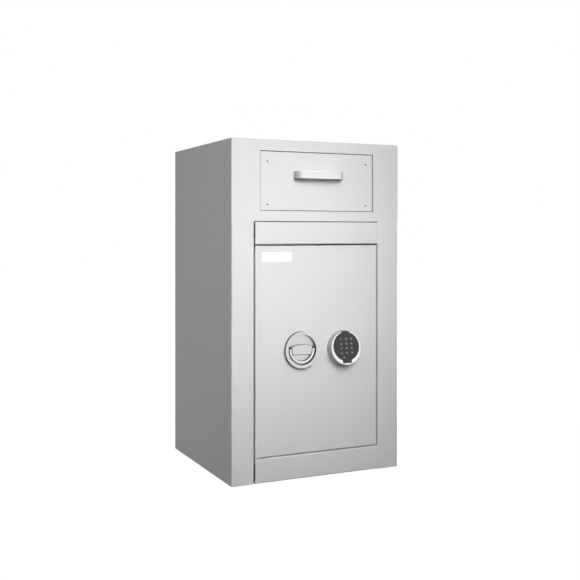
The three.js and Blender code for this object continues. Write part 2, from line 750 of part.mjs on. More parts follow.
function buildDoor(door) {
  const corner = doorEdgeRadius;
  const doorPlan = [
    [doorRight, doorBack],
    ...arc(doorRight - corner, frontFace + corner, corner, 0, -90, bendSteps),
    ...arc(doorLeft + corner, frontFace + corner, corner, -90, -180, bendSteps),
    [doorLeft, doorBack],
  ];
  const slab = prism('z', doorPlan, doorBottom, doorTop);
  const pinCircle = circle(pivotX, pivotY, hingePinRadius + fitClearance, smallRoundSteps);
  const pinDepth = hingePinLength + fitClearance;
  const spindleHole = circle(handleX, lockLineHeight, spindleRadius + fitClearance, smallRoundSteps);
  const cableHole = circle(keypadX, lockLineHeight, cableHoleRadius, smallRoundSteps);
  const drilled = cut(slab,
    prism('z', pinCircle, doorTop - pinDepth, doorTop + cutOver),
    prism('z', pinCircle, doorBottom - cutOver, doorBottom + pinDepth),
    prism('y', spindleHole, frontFace - cutOver, doorBack + cutOver),
    prism('y', cableHole, frontFace - cutOver, doorBack + cutOver));
  const stud = prism('y', circle(guideStudX, lockLineHeight, guideStudRadius, smallRoundSteps),
    doorBack - cutOver, boltBarBack);
  addPiece(door, 'door_plate', joined(drilled, stud), cabinetPaint);

  const panOuter = block(panLeft, panRight, doorBack, panBack, panBottom, panTop);
  const panInner = block(panLeft + panSheet, panRight - panSheet, doorBack - cutOver, panBack + cutOver,
    panBottom + panSheet, panTop - panSheet);
  const boltHoles = boltHeights().map((height) => prism('x',
    circle(boltY, height, boltRadius + fitClearance, smallRoundSteps),
    panRight - panSheet - cutOver, panRight + cutOver));
  addPiece(door, 'door_pan', cut(panOuter, panInner, ...boltHoles), innerPaint);
  const cover = block(panLeft, panRight, panBack, panBack + coverSheet, panBottom, panTop);
  addPiece(door, 'door_back_cover', cover, innerPaint);

  const dog = block(jambLeft - dogEngagement, panLeft, boltY - dogThickness / 2, boltY + dogThickness / 2,
    panBottom + dogEndInset, panTop - dogEndInset);
  addPiece(door, 'dog_bar', dog, plainSteel);

  const labelLeft = doorLeft + labelFromHingeEdge;
  const labelTop = doorTop - labelFromTop;
  const label = block(labelLeft, labelLeft + labelWidth, frontFace - labelThickness, frontFace,
    labelTop - labelHeight, labelTop);
  addPiece(door, 'blank_label', label, blankPlate);
}

function boltHeights() {
  return [-1, 0, 1].map((place) => lockLineHeight + place * boltSpacing);
}

function buildHandle(door, handle, bail) {
  addPiece(door, 'handle_collar', turnedOnDoor([
    [bowlRadius, 0],
    [collarRadius, 0],
    [collarRadius, collarReach - collarChamfer],
    [collarRadius - collarChamfer, collarReach],
    [bowlRadius, collarReach],
    [bowlRadius, 0],
  ], handleX, lockLineHeight, largeRoundSteps), satinNickel);

  const dish = prism('y', circle(handleX, lockLineHeight, bowlRadius - fitClearance, largeRoundSteps),
    dishFront, dishBack);
  const lowerCorner = THREE.MathUtils.radToDeg(Math.asin(crossbarBelow / crossbarHalfWidth));
  const barOutline = [
    ...arc(handleX, lockLineHeight, crossbarHalfWidth, -180, lowerCorner - 180, bendSteps),
    ...arc(handleX, lockLineHeight, crossbarHalfWidth, -lowerCorner, 0, bendSteps),
  ];
  for (let step = 0; step <= slotSteps; step += 1) {
    const share = 1 - 2 * step / slotSteps;
    const height = crossbarAbove + crossbarArch * (1 - share * share);
    barOutline.push([handleX + share * crossbarHalfWidth, lockLineHeight + height]);
  }
  const crossbar = prism('y', barOutline, crossbarFront, dishMiddle);
  const spindle = prism('y', circle(handleX, lockLineHeight, spindleRadius, smallRoundSteps),
    dishMiddle, camBack);
  const pinBore = prism('x', circle(bailPivotY, bailPivotZ, bailBoreRadius, smallRoundSteps),
    handleX - bailOuterRadius, handleX + bailOuterRadius);
  addPiece(handle, 'handle_dish', cut(joined(dish, crossbar, spindle), pinBore), satinNickel);

  const outer = [];
  const inner = [];
  for (let step = 0; step <= slotSteps; step += 1) {
    const angle = step / slotSteps * Math.PI / 2;
    const radius = camRestRadius + camRise * angle;
    const offset = camSlotHalf / Math.hypot(radius, camRise);
    const awayX = offset * (radius * Math.cos(angle) + camRise * Math.sin(angle));
    const awayZ = offset * (radius * Math.sin(angle) - camRise * Math.cos(angle));
    const pathX = handleX + radius * Math.cos(angle);
    const pathZ = lockLineHeight + radius * Math.sin(angle);
    outer.push([pathX + awayX, pathZ + awayZ]);
    inner.unshift([pathX - awayX, pathZ - awayZ]);
  }
  const slotEnds = [
    circle(handleX + camRestRadius, lockLineHeight, camSlotHalf, smallRoundSteps),
    circle(handleX, lockLineHeight + camRestRadius + boltThrow, camSlotHalf, smallRoundSteps),
  ];
  const camOutline = circle(handleX, lockLineHeight, camRadius, largeRoundSteps);
  const camBlank = prism('y', camOutline, camFront, camBack);
  const camTools = [[...outer, ...inner], ...slotEnds,
    circle(handleX, lockLineHeight, spindleRadius + fitClearance, smallRoundSteps)];
  addPiece(handle, 'cam_disc',
    cut(camBlank, ...camTools.map((outline) => prism('y', outline, camFront - cutOver, camBack + cutOver))),
    zincSteel);

  const pinEnd = bailOuterRadius - fitClearance;
  const pin = prism('x', circle(bailPivotY, bailPivotZ, bailPinRadius, smallRoundSteps),
    handleX - pinEnd, handleX + pinEnd);
  addPiece(handle, 'bail_pin', pin, plainSteel);

  const endRadius = bailWidth / 2;
  const ring = prism('y', [
    ...arc(handleX + bailLegMiddle, bailPivotZ, endRadius, 0, 180, bendSteps),
    ...arc(handleX, lockLineHeight, bailInnerRadius, 0, -180, mediumRoundSteps),
    ...arc(handleX - bailLegMiddle, bailPivotZ, endRadius, 0, 180, bendSteps),
    ...arc(handleX, lockLineHeight, bailOuterRadius, -180, 0, mediumRoundSteps),
  ], bailPivotY - bailThickness / 2, bailPivotY + bailThickness / 2);
  const bailBore = prism('x', circle(bailPivotY, bailPivotZ, bailBoreRadius, smallRoundSteps),
    handleX - bailOuterRadius - cutOver, handleX + bailOuterRadius + cutOver);
  addPiece(bail, 'bail_grip', cut(ring, bailBore), satinNickel);
}

function buildBoltWork(carriage) {
  const barLeft = handleX + camRestRadius - drawBarHeight / 2;
  const notch = (offset) => block(
    lockBoltX + offset - lockBoltWidth / 2 - fitClearance,
    lockBoltX + offset + lockBoltWidth / 2 + fitClearance,
    drawBarFront - cutOver, boltBarFront + cutOver,
    drawBarTop + lockBoltGap - lockBoltThrow - fitClearance, drawBarTop + cutOver);
  const studSlot = guideStudRadius + fitClearance;
  const slotOutline = [
    ...arc(guideStudX, lockLineHeight, studSlot, -90, 90, bendSteps),
    ...arc(guideStudX - boltThrow, lockLineHeight, studSlot, 90, 270, bendSteps),
  ];
  const bar = block(barLeft, boltBarRight, drawBarFront, boltBarFront,
    lockLineHeight - drawBarHeight / 2, drawBarTop);
  const pin = prism('y', circle(handleX + camRestRadius, lockLineHeight, camPinRadius, smallRoundSteps),
    camFront - fitClearance, boltBarFront - cutOver);
  const slotted = cut(bar, notch(0), notch(-boltThrow),
    prism('y', slotOutline, drawBarFront - cutOver, boltBarFront + cutOver));
  addPiece(carriage, 'draw_bar', joined(slotted, pin), zincSteel);

  const barReach = boltSpacing + boltBarOverhang;
  const boltBar = block(boltBarLeft, boltBarRight, boltBarFront, boltBarBack,
    lockLineHeight - barReach, lockLineHeight + barReach);
  addPiece(carriage, 'bolt_bar', boltBar, zincSteel);

  const words = ['lower', 'middle', 'upper'];
  boltHeights().forEach((height, index) => {
    const bolt = prism('x', circle(boltY, height, boltRadius, smallRoundSteps), boltBarRight, boltTip);
    addPiece(carriage, `bolt_${words[index]}`, bolt, plainSteel);
  });
}

function buildLock(door, lockBolt) {
  const boltLeft = lockBoltX - lockBoltWidth / 2;
  const boltRight = lockBoltX + lockBoltWidth / 2;
  const boltTop = lockBoltBottom + lockBoltThrow + lockBoltBody;
  const lockCase = block(lockLeft, lockRight, doorBack, lockBack, lockBottom, lockBottom + lockHeight);
  const pocket = block(boltLeft - fitClearance, boltRight + fitClearance,
    lockBoltFront - fitClearance, lockBoltBack + fitClearance,
    lockBottom - cutOver, boltTop + fitClearance);
  addPiece(door, 'lock_case', cut(lockCase, pocket), zincSteel);
  const bolt = block(boltLeft, boltRight, lockBoltFront, lockBoltBack, lockBoltBottom, boltTop);
  addPiece(lockBolt, 'lock_bolt', bolt, plainSteel);
}

// Outline of the black insert: a disc with one tab upwards and one downwards.
function insertShapes(grow, low, high) {
  const upper = upperTabHalfWidth + grow;
  const lower = lowerTabHalfWidth + grow;
  return [
    prism('y', circle(keypadX, insertMiddle, insertRadius + grow, largeRoundSteps), low, high),
    prism('y', rectangle(keypadX - upper, keypadX + upper, insertMiddle,
      lockLineHeight + upperTabReach + grow), low, high),
    prism('y', rectangle(keypadX - lower, keypadX + lower, lockLineHeight - lowerTabReach - grow,
      insertMiddle), low, high),
  ];
}

// Turns a shape that is built square to the door back into the plane of the leaning front.
function leaned(geometry) {
  const place = new THREE.Matrix4().makeTranslation(0, keypadFront, lockLineHeight);
  place.multiply(new THREE.Matrix4().makeRotationX(-keypadTilt));
  place.multiply(new THREE.Matrix4().makeTranslation(0, -keypadFront, -lockLineHeight));
  return geometry.applyMatrix4(place);
}

// Slants the front of a turned shape and leaves its foot flat on the door.
function slanted(geometry) {
  const places = geometry.attributes.position;
  for (let index = 0; index < places.count; index += 1) {
    const share = (frontFace - places.getY(index)) / keypadReach;
    const lean = share * (places.getZ(index) - lockLineHeight) * Math.tan(keypadTilt);
    places.setY(index, places.getY(index) + lean);
  }
  return geometry;
}

function buildKeypad(door, keys) {
  const wallLean = THREE.MathUtils.radToDeg(Math.atan(keypadTaper / keypadReach));
  const roundCentre = [keypadFrontRadius - keypadEdgeRound, keypadReach - keypadEdgeRound];
  const housing = slanted(turnedOnDoor([
    [0, 0],
    [keypadBaseRadius, 0],
    ...arc(...roundCentre, keypadEdgeRound, wallLean, 90, bendSteps),
    [0, keypadReach],
  ], keypadX, lockLineHeight, largeRoundSteps));
  const recess = insertShapes(fitClearance, keypadFront - cutOver, insertBack).map(leaned);
  addPiece(door, 'keypad_housing', cut(housing, ...recess), brightTrim);

  const keyPlaces = [];
  const legends = ['1', '2', '3', '4', '5', '6', '7', '8', '9', 'clear', '0', 'enter'];
  legends.forEach((legend, index) => {
    const column = index % keyColumns - (keyColumns - 1) / 2;
    const row = (keyRows - 1) / 2 - Math.floor(index / keyColumns);
    const x = keypadX + column * keyPitchAcross;
    const z = insertMiddle + keyGridRise + row * keyPitchUp;
    keyPlaces.push({ legend, x, z });
  });
  const keyOutline = ({ x, z }, grow) =>
    roundedRectangle(x, z, keyHalfWidth + grow, keyHalfHeight + grow, keyCorner + grow, keyCornerSteps);
  const pockets = keyPlaces.map((place) =>
    prism('y', keyOutline(place, fitClearance), insertFront - cutOver, pocketFloor));
  const insert = joined(...insertShapes(0, insertFront, insertBack));
  addPiece(door, 'keypad_insert', leaned(cut(insert, ...pockets)), blackPlastic);

  for (const place of keyPlaces) {
    const key = new THREE.Group();
    const button = leaned(prism('y', keyOutline(place, 0), keyFront, keyBack));
    addPiece(key, `key_${place.legend}`, button, keyPlastic);
    keys.add(key);
  }
}

const safe = new THREE.Group();
const cabinet = new THREE.Group();
const drawer = new THREE.Group();
const door = new THREE.Group();
const handle = new THREE.Group();
const bail = new THREE.Group();
const carriage = new THREE.Group();
const lockBolt = new THREE.Group();
const keys = new THREE.Group();
safe.add(cabinet);
cabinet.add(drawer, door);
door.add(handle, carriage, lockBolt, keys);
handle.add(bail);

buildShell(cabinet);
buildHeaderAndSill(cabinet);
buildRoom(cabinet);
buildDrawerSupport(cabinet);
buildHingePins(cabinet);
buildDrawer(drawer);
buildTiltingFloor(drawer);
buildDoor(door);
buildHandle(door, handle, bail);
buildBoltWork(carriage);
buildLock(door, lockBolt);
buildKeypad(door, keys);

export default safe;
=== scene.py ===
# %% [markdown]
# # A drop safe with a deposit drawer
# The real thing is a cabinet of folded steel sheet. Cash goes into a drawer at the top, whose floor
# tips it into the locked room below, and a thick door with bolts closes that room.
# Its solids are already built and placed, so this lesson dresses them. It softens their cut edges,
# models the pull, the handle, the keypad, the door bolts and the fasteners finely, and gives each
# surface its finish. The first cells load the solids and keep the box that they fill.

# %% Load the safe
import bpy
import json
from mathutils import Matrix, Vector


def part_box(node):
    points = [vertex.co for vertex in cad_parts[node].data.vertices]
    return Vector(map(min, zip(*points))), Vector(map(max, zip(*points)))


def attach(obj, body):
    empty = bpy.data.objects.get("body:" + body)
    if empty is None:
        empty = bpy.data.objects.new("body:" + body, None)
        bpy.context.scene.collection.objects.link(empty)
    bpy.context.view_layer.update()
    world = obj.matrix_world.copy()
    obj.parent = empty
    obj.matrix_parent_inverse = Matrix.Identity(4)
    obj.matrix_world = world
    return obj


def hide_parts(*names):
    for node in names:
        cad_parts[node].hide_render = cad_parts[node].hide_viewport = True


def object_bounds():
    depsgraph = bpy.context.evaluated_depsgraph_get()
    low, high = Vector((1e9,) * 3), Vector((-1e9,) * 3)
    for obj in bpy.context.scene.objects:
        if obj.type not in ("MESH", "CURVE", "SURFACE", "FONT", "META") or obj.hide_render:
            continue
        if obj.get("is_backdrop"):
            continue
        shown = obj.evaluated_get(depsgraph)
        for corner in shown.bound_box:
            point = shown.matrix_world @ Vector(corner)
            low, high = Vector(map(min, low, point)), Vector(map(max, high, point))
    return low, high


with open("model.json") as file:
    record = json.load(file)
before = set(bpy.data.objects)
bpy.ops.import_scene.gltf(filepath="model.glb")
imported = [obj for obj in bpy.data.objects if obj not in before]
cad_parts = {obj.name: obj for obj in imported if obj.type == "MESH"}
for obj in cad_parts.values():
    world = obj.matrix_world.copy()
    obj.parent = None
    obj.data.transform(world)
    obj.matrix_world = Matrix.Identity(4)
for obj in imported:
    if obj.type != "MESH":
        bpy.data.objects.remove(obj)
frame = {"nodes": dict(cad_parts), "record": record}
print(len(frame["nodes"]), "solids loaded")

# %% Modules, and the box that the solids fill
import json
import math

import bmesh
import bpy
from mathutils import Matrix, Vector


def plain_box():
    """The whole safe's lowest and highest corner, as plain numbers."""
    return [[float(value) for value in corner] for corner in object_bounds()]


SOLID_BOX = plain_box()
print("the solids fill", SOLID_BOX)

# %% [markdown]
# Every length below is in metres, as Blender's are. A workshop drawing is in millimetres, so small
# sizes are written as a number of MM. Which body a solid rides on could be typed in for each piece,
# but the record already says it, so it is read from there and can't go stale.

# %% Millimetres, bodies and middles
MM = 0.001
BODY_OF = {
    node: body
    for body, nodes in frame["record"]["behaviour"]["bodies"].items()
    for node in nodes
}


def middle(node):
    """The centre of a solid's box."""
    low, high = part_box(node)
    return (low + high) / 2


# %% [markdown]
# ## The camera
# The photograph was taken with a level camera, because the upright edges run parallel. A camera can
# be pushed about until the picture fits, but a fit by eye drifts with every try. Here it is worked
# out: the nearest upright edge is as tall as the cabinet, so its length in the picture gives the
# distance, and its place in the picture gives the camera's height and side. The lens and the turn
# come from where the cabinet's level edges run together.

# %% Camera
PICTURE_SIZE = 580
FOCAL_PIXELS = 909.4
HORIZON_ROW = 232.52
NEAR_EDGE_COLUMN = 231.5
NEAR_EDGE_TOP_ROW = 137.5
NEAR_EDGE_FOOT_ROW = 487.3
TURN = math.radians(25.09)
SENSOR_MILLIMETRES = 36

cabinet_height = SOLID_BOX[1][2]
metres_per_pixel = cabinet_height / (NEAR_EDGE_FOOT_ROW - NEAR_EDGE_TOP_ROW)
distance = FOCAL_PIXELS * metres_per_pixel
sideways = (NEAR_EDGE_COLUMN - PICTURE_SIZE / 2) * metres_per_pixel
ahead = Vector((math.sin(TURN), math.cos(TURN), 0))
rightwards = Vector((math.cos(TURN), -math.sin(TURN), 0))
near_corner = Vector((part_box("left_side_panel")[0].x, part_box("upper_front_plate")[0].y, 0))

camera = bpy.data.objects.new("camera", bpy.data.cameras.new("camera"))
bpy.context.collection.objects.link(camera)
camera.location = near_corner - ahead * distance - rightwards * sideways
camera.location.z = (NEAR_EDGE_FOOT_ROW - HORIZON_ROW) * metres_per_pixel
camera.rotation_euler = (math.radians(90), 0, -TURN)
camera.data.sensor_width = SENSOR_MILLIMETRES
camera.data.lens = FOCAL_PIXELS / PICTURE_SIZE * SENSOR_MILLIMETRES
camera.data.shift_y = (HORIZON_ROW - PICTURE_SIZE / 2) / PICTURE_SIZE
bpy.context.scene.camera = camera
print("camera at", tuple(round(value, 4) for value in camera.location))

# %% [markdown]
# ## Shader maths
# A finish is a network of nodes. Each node can be made and linked by hand, but then one sum takes
# ten lines and nobody sees that it is a sum. `Wire` stands for one value in the network, and adding
# or multiplying wires adds the Math nodes. `Finish` holds the nodes of one material, or of the
# world, and its single method adds any other node.

# %% Wire
class Wire:
    """A value in a finish. Sums written with it become Math nodes."""

    def __init__(self, finish, socket):
        self.finish = finish
        self.socket = socket

    def maths(self, operation, first, second):
        """A Math node whose inputs are wires or numbers."""
        return self.finish.node("ShaderNodeMath", {"operation": operation}, {0: first, 1: second})

    def __add__(self, other):
        return self.maths("ADD", self, other)

    def __radd__(self, other):
        return self.maths("ADD", other, self)

    def __mul__(self, other):
        return self.maths("MULTIPLY", self, other)

    def __rmul__(self, other):
        return self.maths("MULTIPLY", other, self)


print("a wire can be added and multiplied")

# %% Finish
class Finish:
    """The nodes of a material or of a world, which is their owner."""

    def __init__(self, owner):
        self.owner = owner
        owner.use_nodes = True
        self.tree = owner.node_tree
        self.tree.nodes.clear()

    def node(self, kind, settings, inputs, output=0):
        """Adds a node, sets its settings, then fills its sockets with values or wires.

        The wire that comes back carries one of its outputs, the first unless another is named.
        """
        made = self.tree.nodes.new(kind)
        for setting, value in settings.items():
            setattr(made, setting, value)
        for socket, value in inputs.items():
            if isinstance(value, Wire):
                self.tree.links.new(value.socket, made.inputs[socket])
            else:
                made.inputs[socket].default_value = value
        return Wire(self, made.outputs[output]) if made.outputs else None


print("a finish takes any kind of node")

# %% [markdown]
# Paint, metal and plastic differ in their numbers more than in their kind, so they share their
# patterns. A pattern could come from a picture, but noise has no seams and can be given a real
# grain size. Each noise reads the place on the object, so a grain of 2 mm is 2 mm on every piece.

# %% Place and grain
OBJECT_PLACE = "Object"


def place_in(finish, stretch=(1, 1, 1)):
    """The place on the object, squeezed along an axis to draw a pattern out."""
    place = finish.node("ShaderNodeTexCoord", {}, {}, OBJECT_PLACE)
    return finish.node("ShaderNodeMapping", {}, {"Vector": place, "Scale": stretch})


def grain(finish, size, detail=2, stretch=(1, 1, 1)):
    """Noise whose lumps are about as wide as size."""
    sockets = {"Vector": place_in(finish, stretch), "Scale": 1 / size, "Detail": detail}
    return finish.node("ShaderNodeTexNoise", {}, sockets)


print("patterns read the", OBJECT_PLACE, "coordinates")

# %% Colour, relief and shader
NO_TINT = (0, 0, 0)


def grey(level, tint=NO_TINT):
    """A grey of one level, with a little added to its red, green or blue."""
    return (level + tint[0], level + tint[1], level + tint[2], 1)


def two_colours(finish, share, first, second):
    """The first colour where share is 0 and the second where it is 1."""
    settings = {"data_type": "RGBA"}
    return finish.node("ShaderNodeMix", settings, {0: share, 6: first, 7: second}, 2)


def toned(finish, share, level, darkest, lightest, tint=NO_TINT):
    """A grey that varies with share, from darkest to lightest times its level."""
    return two_colours(finish, share, grey(level * darkest, tint), grey(level * lightest, tint))


def relief(finish, height, depth):
    """A normal that makes a height from 0 to 1 look depth metres deep."""
    return finish.node("ShaderNodeBump", {}, {"Height": height, "Distance": depth}, "Normal")


def surface(finish, sockets):
    """Ends a finish with its shader and gives the material back."""
    shader = finish.node("ShaderNodeBsdfPrincipled", {}, sockets)
    finish.node("ShaderNodeOutputMaterial", {}, {"Surface": shader})
    return finish.owner


coats = {}
print("an untinted grey of 0.5 is", grey(0.5))

# %% [markdown]
# ## Paint
# The cabinet is powder coated. The powder melts into a skin with a faint orange peel of lumps
# about two millimetres wide, and a finer grain on top of them. The lumps are a few hundredths of a
# millimetre deep, far too fine to model, so a bump makes them. A cloud of wide, weak noise keeps a
# large panel from looking like a flat fill.

# %% Powder coat
PEEL_WIDTH = 2.2 * MM
SPECK_WIDTH = 0.7 * MM
CLOUD_WIDTH = 90 * MM
PEEL_DEPTH = 0.035 * MM
PAINT_ROUGHNESS = 0.42
PAINT_GLOSS = 0.3


def powder_coat(name, level):
    """Grey paint with an orange peel."""
    finish = Finish(bpy.data.materials.new(name))
    peel = grain(finish, PEEL_WIDTH)
    speck = grain(finish, SPECK_WIDTH, 3)
    cloud = grain(finish, CLOUD_WIDTH)
    return surface(finish, {
        "Base Color": toned(finish, cloud * 0.5 + speck * 0.5, level, 0.97, 1.03),
        "Roughness": PAINT_ROUGHNESS + speck * 0.12,
        "Specular IOR Level": PAINT_GLOSS,
        "Normal": relief(finish, peel * 0.7 + speck * 0.3, PEEL_DEPTH),
    })


coats["cabinet_paint"] = powder_coat("cabinet_paint_finish", level=0.7)
coats["inner_paint"] = powder_coat("inner_paint_finish", level=0.62)
print("paints", list(coats))

# %% [markdown]
# ## Satin metal
# The handle's parts are satin nickel, the keypad's ring is brighter trim, and the small screws are
# blackened. All three are smooth plating with fine scratches in all directions, so one recipe
# serves them, and only its tone and roughness change.

# %% Satin metal
SCRATCH_WIDTH = 0.25 * MM
SMEAR_WIDTH = 14 * MM


def satin_metal(name, level, roughness, scratch_depth, tint=NO_TINT):
    """Plating that mirrors softly."""
    finish = Finish(bpy.data.materials.new(name))
    scratches = grain(finish, SCRATCH_WIDTH)
    smear = grain(finish, SMEAR_WIDTH)
    return surface(finish, {
        "Base Color": toned(finish, smear, level, 0.96, 1.02, tint),
        "Metallic": 1,
        "Roughness": roughness + smear * 0.08,
        "Normal": relief(finish, scratches, scratch_depth),
    })


coats["satin_nickel"] = satin_metal("satin_nickel_finish", level=0.7, roughness=0.36,
                                    scratch_depth=0.002 * MM, tint=(0.006, 0, -0.008))
coats["bright_trim"] = satin_metal("bright_trim_finish", level=0.92, roughness=0.24,
                                   scratch_depth=0.001 * MM)
coats["dark_screw"] = satin_metal("dark_screw_finish", level=0.07, roughness=0.4,
                                  scratch_depth=0.002 * MM)
print("with satin metals", list(coats))

# %% [markdown]
# ## Ground steel and zinc plate
# The bolts, the runners and the pins are ground, and the wheel leaves fine marks in one direction. A
# picture of brushed steel would have to be unwrapped onto each piece. The same noise as before,
# drawn out twenty times along the bolts' axis, needs no unwrapping.

# %% Ground steel
MARK_WIDTH = 0.5 * MM
MARK_DEPTH = 0.01 * MM
STAIN_WIDTH = 30 * MM


def ground_metal(name, level, roughness, stretch):
    """Bare steel with the grinding wheel's marks."""
    finish = Finish(bpy.data.materials.new(name))
    marks = grain(finish, MARK_WIDTH, 3, stretch)
    stain = grain(finish, STAIN_WIDTH, 3)
    return surface(finish, {
        "Base Color": toned(finish, stain, level, 0.9, 1.06),
        "Metallic": 1,
        "Roughness": roughness + marks * 0.16,
        "Normal": relief(finish, marks, MARK_DEPTH),
    })


coats["plain_steel"] = ground_metal("plain_steel_finish", level=0.56, roughness=0.28, stretch=(0.05, 1, 1))
print("with ground steel", list(coats))

# %% [markdown]
# The drawer box and the inner brackets are zinc plated, and zinc sets in a faint spangle of
# crystals. Noise has no crystals, so the cells of a Voronoi pattern stand for them.

# %% Zinc plate
SPANGLE_WIDTH = 6 * MM
ZINC_GRAIN = 0.6 * MM
ZINC_DEPTH = 0.008 * MM
ZINC_BLUE = (0, 0, 0.006)


def zinc_plate(name, level, roughness):
    """Zinc with a spangle, whose lightest crystals are a little blue."""
    finish = Finish(bpy.data.materials.new(name))
    sockets = {"Vector": place_in(finish), "Scale": 1 / SPANGLE_WIDTH}
    cells = finish.node("ShaderNodeTexVoronoi", {}, sockets, "Color")
    tone = finish.node("ShaderNodeSeparateColor", {}, {"Color": cells})
    return surface(finish, {
        "Base Color": two_colours(finish, tone, grey(level * 0.93), grey(level * 1.06, ZINC_BLUE)),
        "Metallic": 1,
        "Roughness": roughness + tone * 0.12,
        "Normal": relief(finish, grain(finish, ZINC_GRAIN), ZINC_DEPTH),
    })


coats["zinc_steel"] = zinc_plate("zinc_steel_finish", level=0.6, roughness=0.36)
print("with zinc plate", list(coats))

# %% [markdown]
# ## Blasted metal
# The pull, the bail and the keypad's case are cast and blasted before they are plated, so they
# scatter part of the light instead of mirroring it. A shader that is only partly metallic does
# that. The pull's middle is painted lighter, a painted highlight, and its two ends darker, painted
# shade: the distance from the safe's middle fades one tone into the other.

# %% Blasted metal
BRUSH_WIDTH = 0.3 * MM
BRUSH_STRETCH = (0.06, 1, 1)
BRUSH_DEPTH = 0.004 * MM
HANDLING_WIDTH = 18 * MM
HIGHLIGHT_TO = 45 * MM
SHADE_FROM = 61 * MM


def painted_shade_ends(finish):
    """0 in the pull's middle, painted as a highlight, and 1 towards its ends, painted as shade."""
    place = finish.node("ShaderNodeTexCoord", {}, {}, OBJECT_PLACE)
    across = finish.node("ShaderNodeSeparateXYZ", {}, {"Vector": place}, "X")
    distance_across = finish.node("ShaderNodeMath", {"operation": "ABSOLUTE"}, {0: across})
    return finish.node("ShaderNodeMapRange", {"interpolation_type": "SMOOTHSTEP"},
                       {"Value": distance_across, "From Min": HIGHLIGHT_TO, "From Max": SHADE_FROM})


def blasted_metal(name, level, metallic, roughness, shaded_end_level=None):
    """Plating that scatters part of the light, with ends in painted shade if they have a level."""
    finish = Finish(bpy.data.materials.new(name))
    brushed = grain(finish, BRUSH_WIDTH, 3, BRUSH_STRETCH)
    colour = toned(finish, grain(finish, HANDLING_WIDTH), level, 0.98, 1.02)
    if shaded_end_level is not None:
        colour = two_colours(finish, painted_shade_ends(finish), colour, grey(shaded_end_level))
    return surface(finish, {
        "Base Color": colour,
        "Metallic": metallic,
        "Roughness": roughness + brushed * 0.14,
        "Normal": relief(finish, brushed, BRUSH_DEPTH),
    })


# The pull's finish paints a highlight on its middle and shade on its two ends.
coats["pull_painted_light"] = blasted_metal("bright_pull_finish", level=0.77, metallic=0.35, roughness=0.3,
                                     shaded_end_level=0.42)
coats["bright_bail"] = blasted_metal("bright_bail_finish", level=0.8, metallic=0.6, roughness=0.3)
# The keypad's case is a darker copy of the bright trim: painted shade on its wall.
coats["painted_shade_silver"] = blasted_metal("cast_silver_finish", level=0.43, metallic=0.25, roughness=0.34)
print("with blasted metals", list(coats))

# %% [markdown]
# ## Plastics and board
# The keypad's insert and keys, the ears of the bail and the drawer's glides are moulded, and show
# the fine etched grain of their mould. The dark strips of painted shade in the seams use the same
# recipe. The board between the two walls is pressed fibre. It could have fibres of its own, but it
# lies deep inside, so the same recipe serves it with a coarser grain and more roughness.

# %% Plastics and board
HAZE_WIDTH = 25 * MM


def moulded(name, level, roughness, grain_size, grain_depth, tint=NO_TINT):
    """A dull body with an etched grain."""
    finish = Finish(bpy.data.materials.new(name))
    etch = grain(finish, grain_size)
    haze = grain(finish, HAZE_WIDTH)
    return surface(finish, {
        "Base Color": toned(finish, haze, level, 0.94, 1.06, tint),
        "Roughness": roughness + etch * 0.1,
        "Normal": relief(finish, etch, grain_depth),
    })


coats["black_plastic"] = moulded("black_plastic_finish", level=0.026, roughness=0.42,
                                 grain_size=0.3 * MM, grain_depth=0.02 * MM, tint=(0, 0, 0.002))
coats["key_plastic"] = moulded("key_plastic_finish", level=0.05, roughness=0.5,
                               grain_size=0.4 * MM, grain_depth=0.01 * MM, tint=(0, 0, 0.002))
coats["nylon"] = moulded("nylon_finish", level=0.74, roughness=0.4,
                         grain_size=0.8 * MM, grain_depth=0.01 * MM, tint=(0.02, 0.01, -0.04))
coats["blank_plate"] = moulded("blank_plate_finish", level=0.9, roughness=0.28,
                               grain_size=1.2 * MM, grain_depth=0.003 * MM)
coats["board_filling"] = moulded("board_filling_finish", level=0.3, roughness=0.8,
                                 grain_size=1.5 * MM, grain_depth=0.25 * MM, tint=(0.03, 0.01, -0.02))
print(len(coats), "finishes made")

# %% [markdown]
# ## Making a piece
# A piece starts as a bmesh, which operators shape, and becomes an object whose origin is the
# model's origin. Smooth shading alone would bend the light over its flat faces, and flat shading
# would show the steps of its round ones. So all faces are smooth, sharp creases are marked, and
# weighted normals keep the flats flat.

# %% From a bmesh to a piece that rides on a body
CREASE = math.radians(32)


def crease_edges(shape):
    """Smooths every face, and keeps the edges where the shape turns sharply."""
    for face in shape.faces:
        face.smooth = True
    for edge in shape.edges:
        edge.smooth = edge.calc_face_angle(math.pi) < CREASE


def piece(name, shape, body, slot, *nodes, coat=None):
    """Turns a bmesh into a finished piece, which may stand for some solids.

    It wears its slot's finish, or the one that is named as its coat.
    """
    crease_edges(shape)
    open_edges = sum(1 for edge in shape.edges if len(edge.link_faces) != 2)
    mesh = bpy.data.meshes.new(name)
    shape.to_mesh(mesh)
    shape.free()
    made = bpy.data.objects.new(name, mesh)
    bpy.context.collection.objects.link(made)
    mesh.materials.append(coats[coat or slot])
    made.modifiers.new("flat faces", "WEIGHTED_NORMAL").keep_sharp = True
    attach(made, body)
    if nodes:
        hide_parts(*nodes)
    print(name, len(mesh.polygons), "faces,", open_edges, "open edges")


print("edges past", round(math.degrees(CREASE)), "degrees are creases")

# %% [markdown]
# ## Plates and panels
# Sheet steel is cut, folded and welded, so no edge is truly sharp. Each panel could be modelled
# again from its sizes, but its solid already has every hole and fold in place. So the solid is
# copied, its loose triangles are merged into whole flat faces, and its sharp edges are bevelled.
# A radius of four tenths of a millimetre is enough to catch the light along each edge.

# %% Merging a solid and rounding its edges
SAME_PLACE = 0.001 * MM
SAME_PLANE = math.radians(1)
SHARP_ANGLE = 60


def rounded(shape, edges, radius, segments=3):
    """Rounds some edges of a bmesh."""
    bmesh.ops.bevel(shape, geom=edges, offset=radius, offset_type="OFFSET", affect="EDGES",
                    segments=segments, profile=0.5, material=-1, clamp_overlap=True)


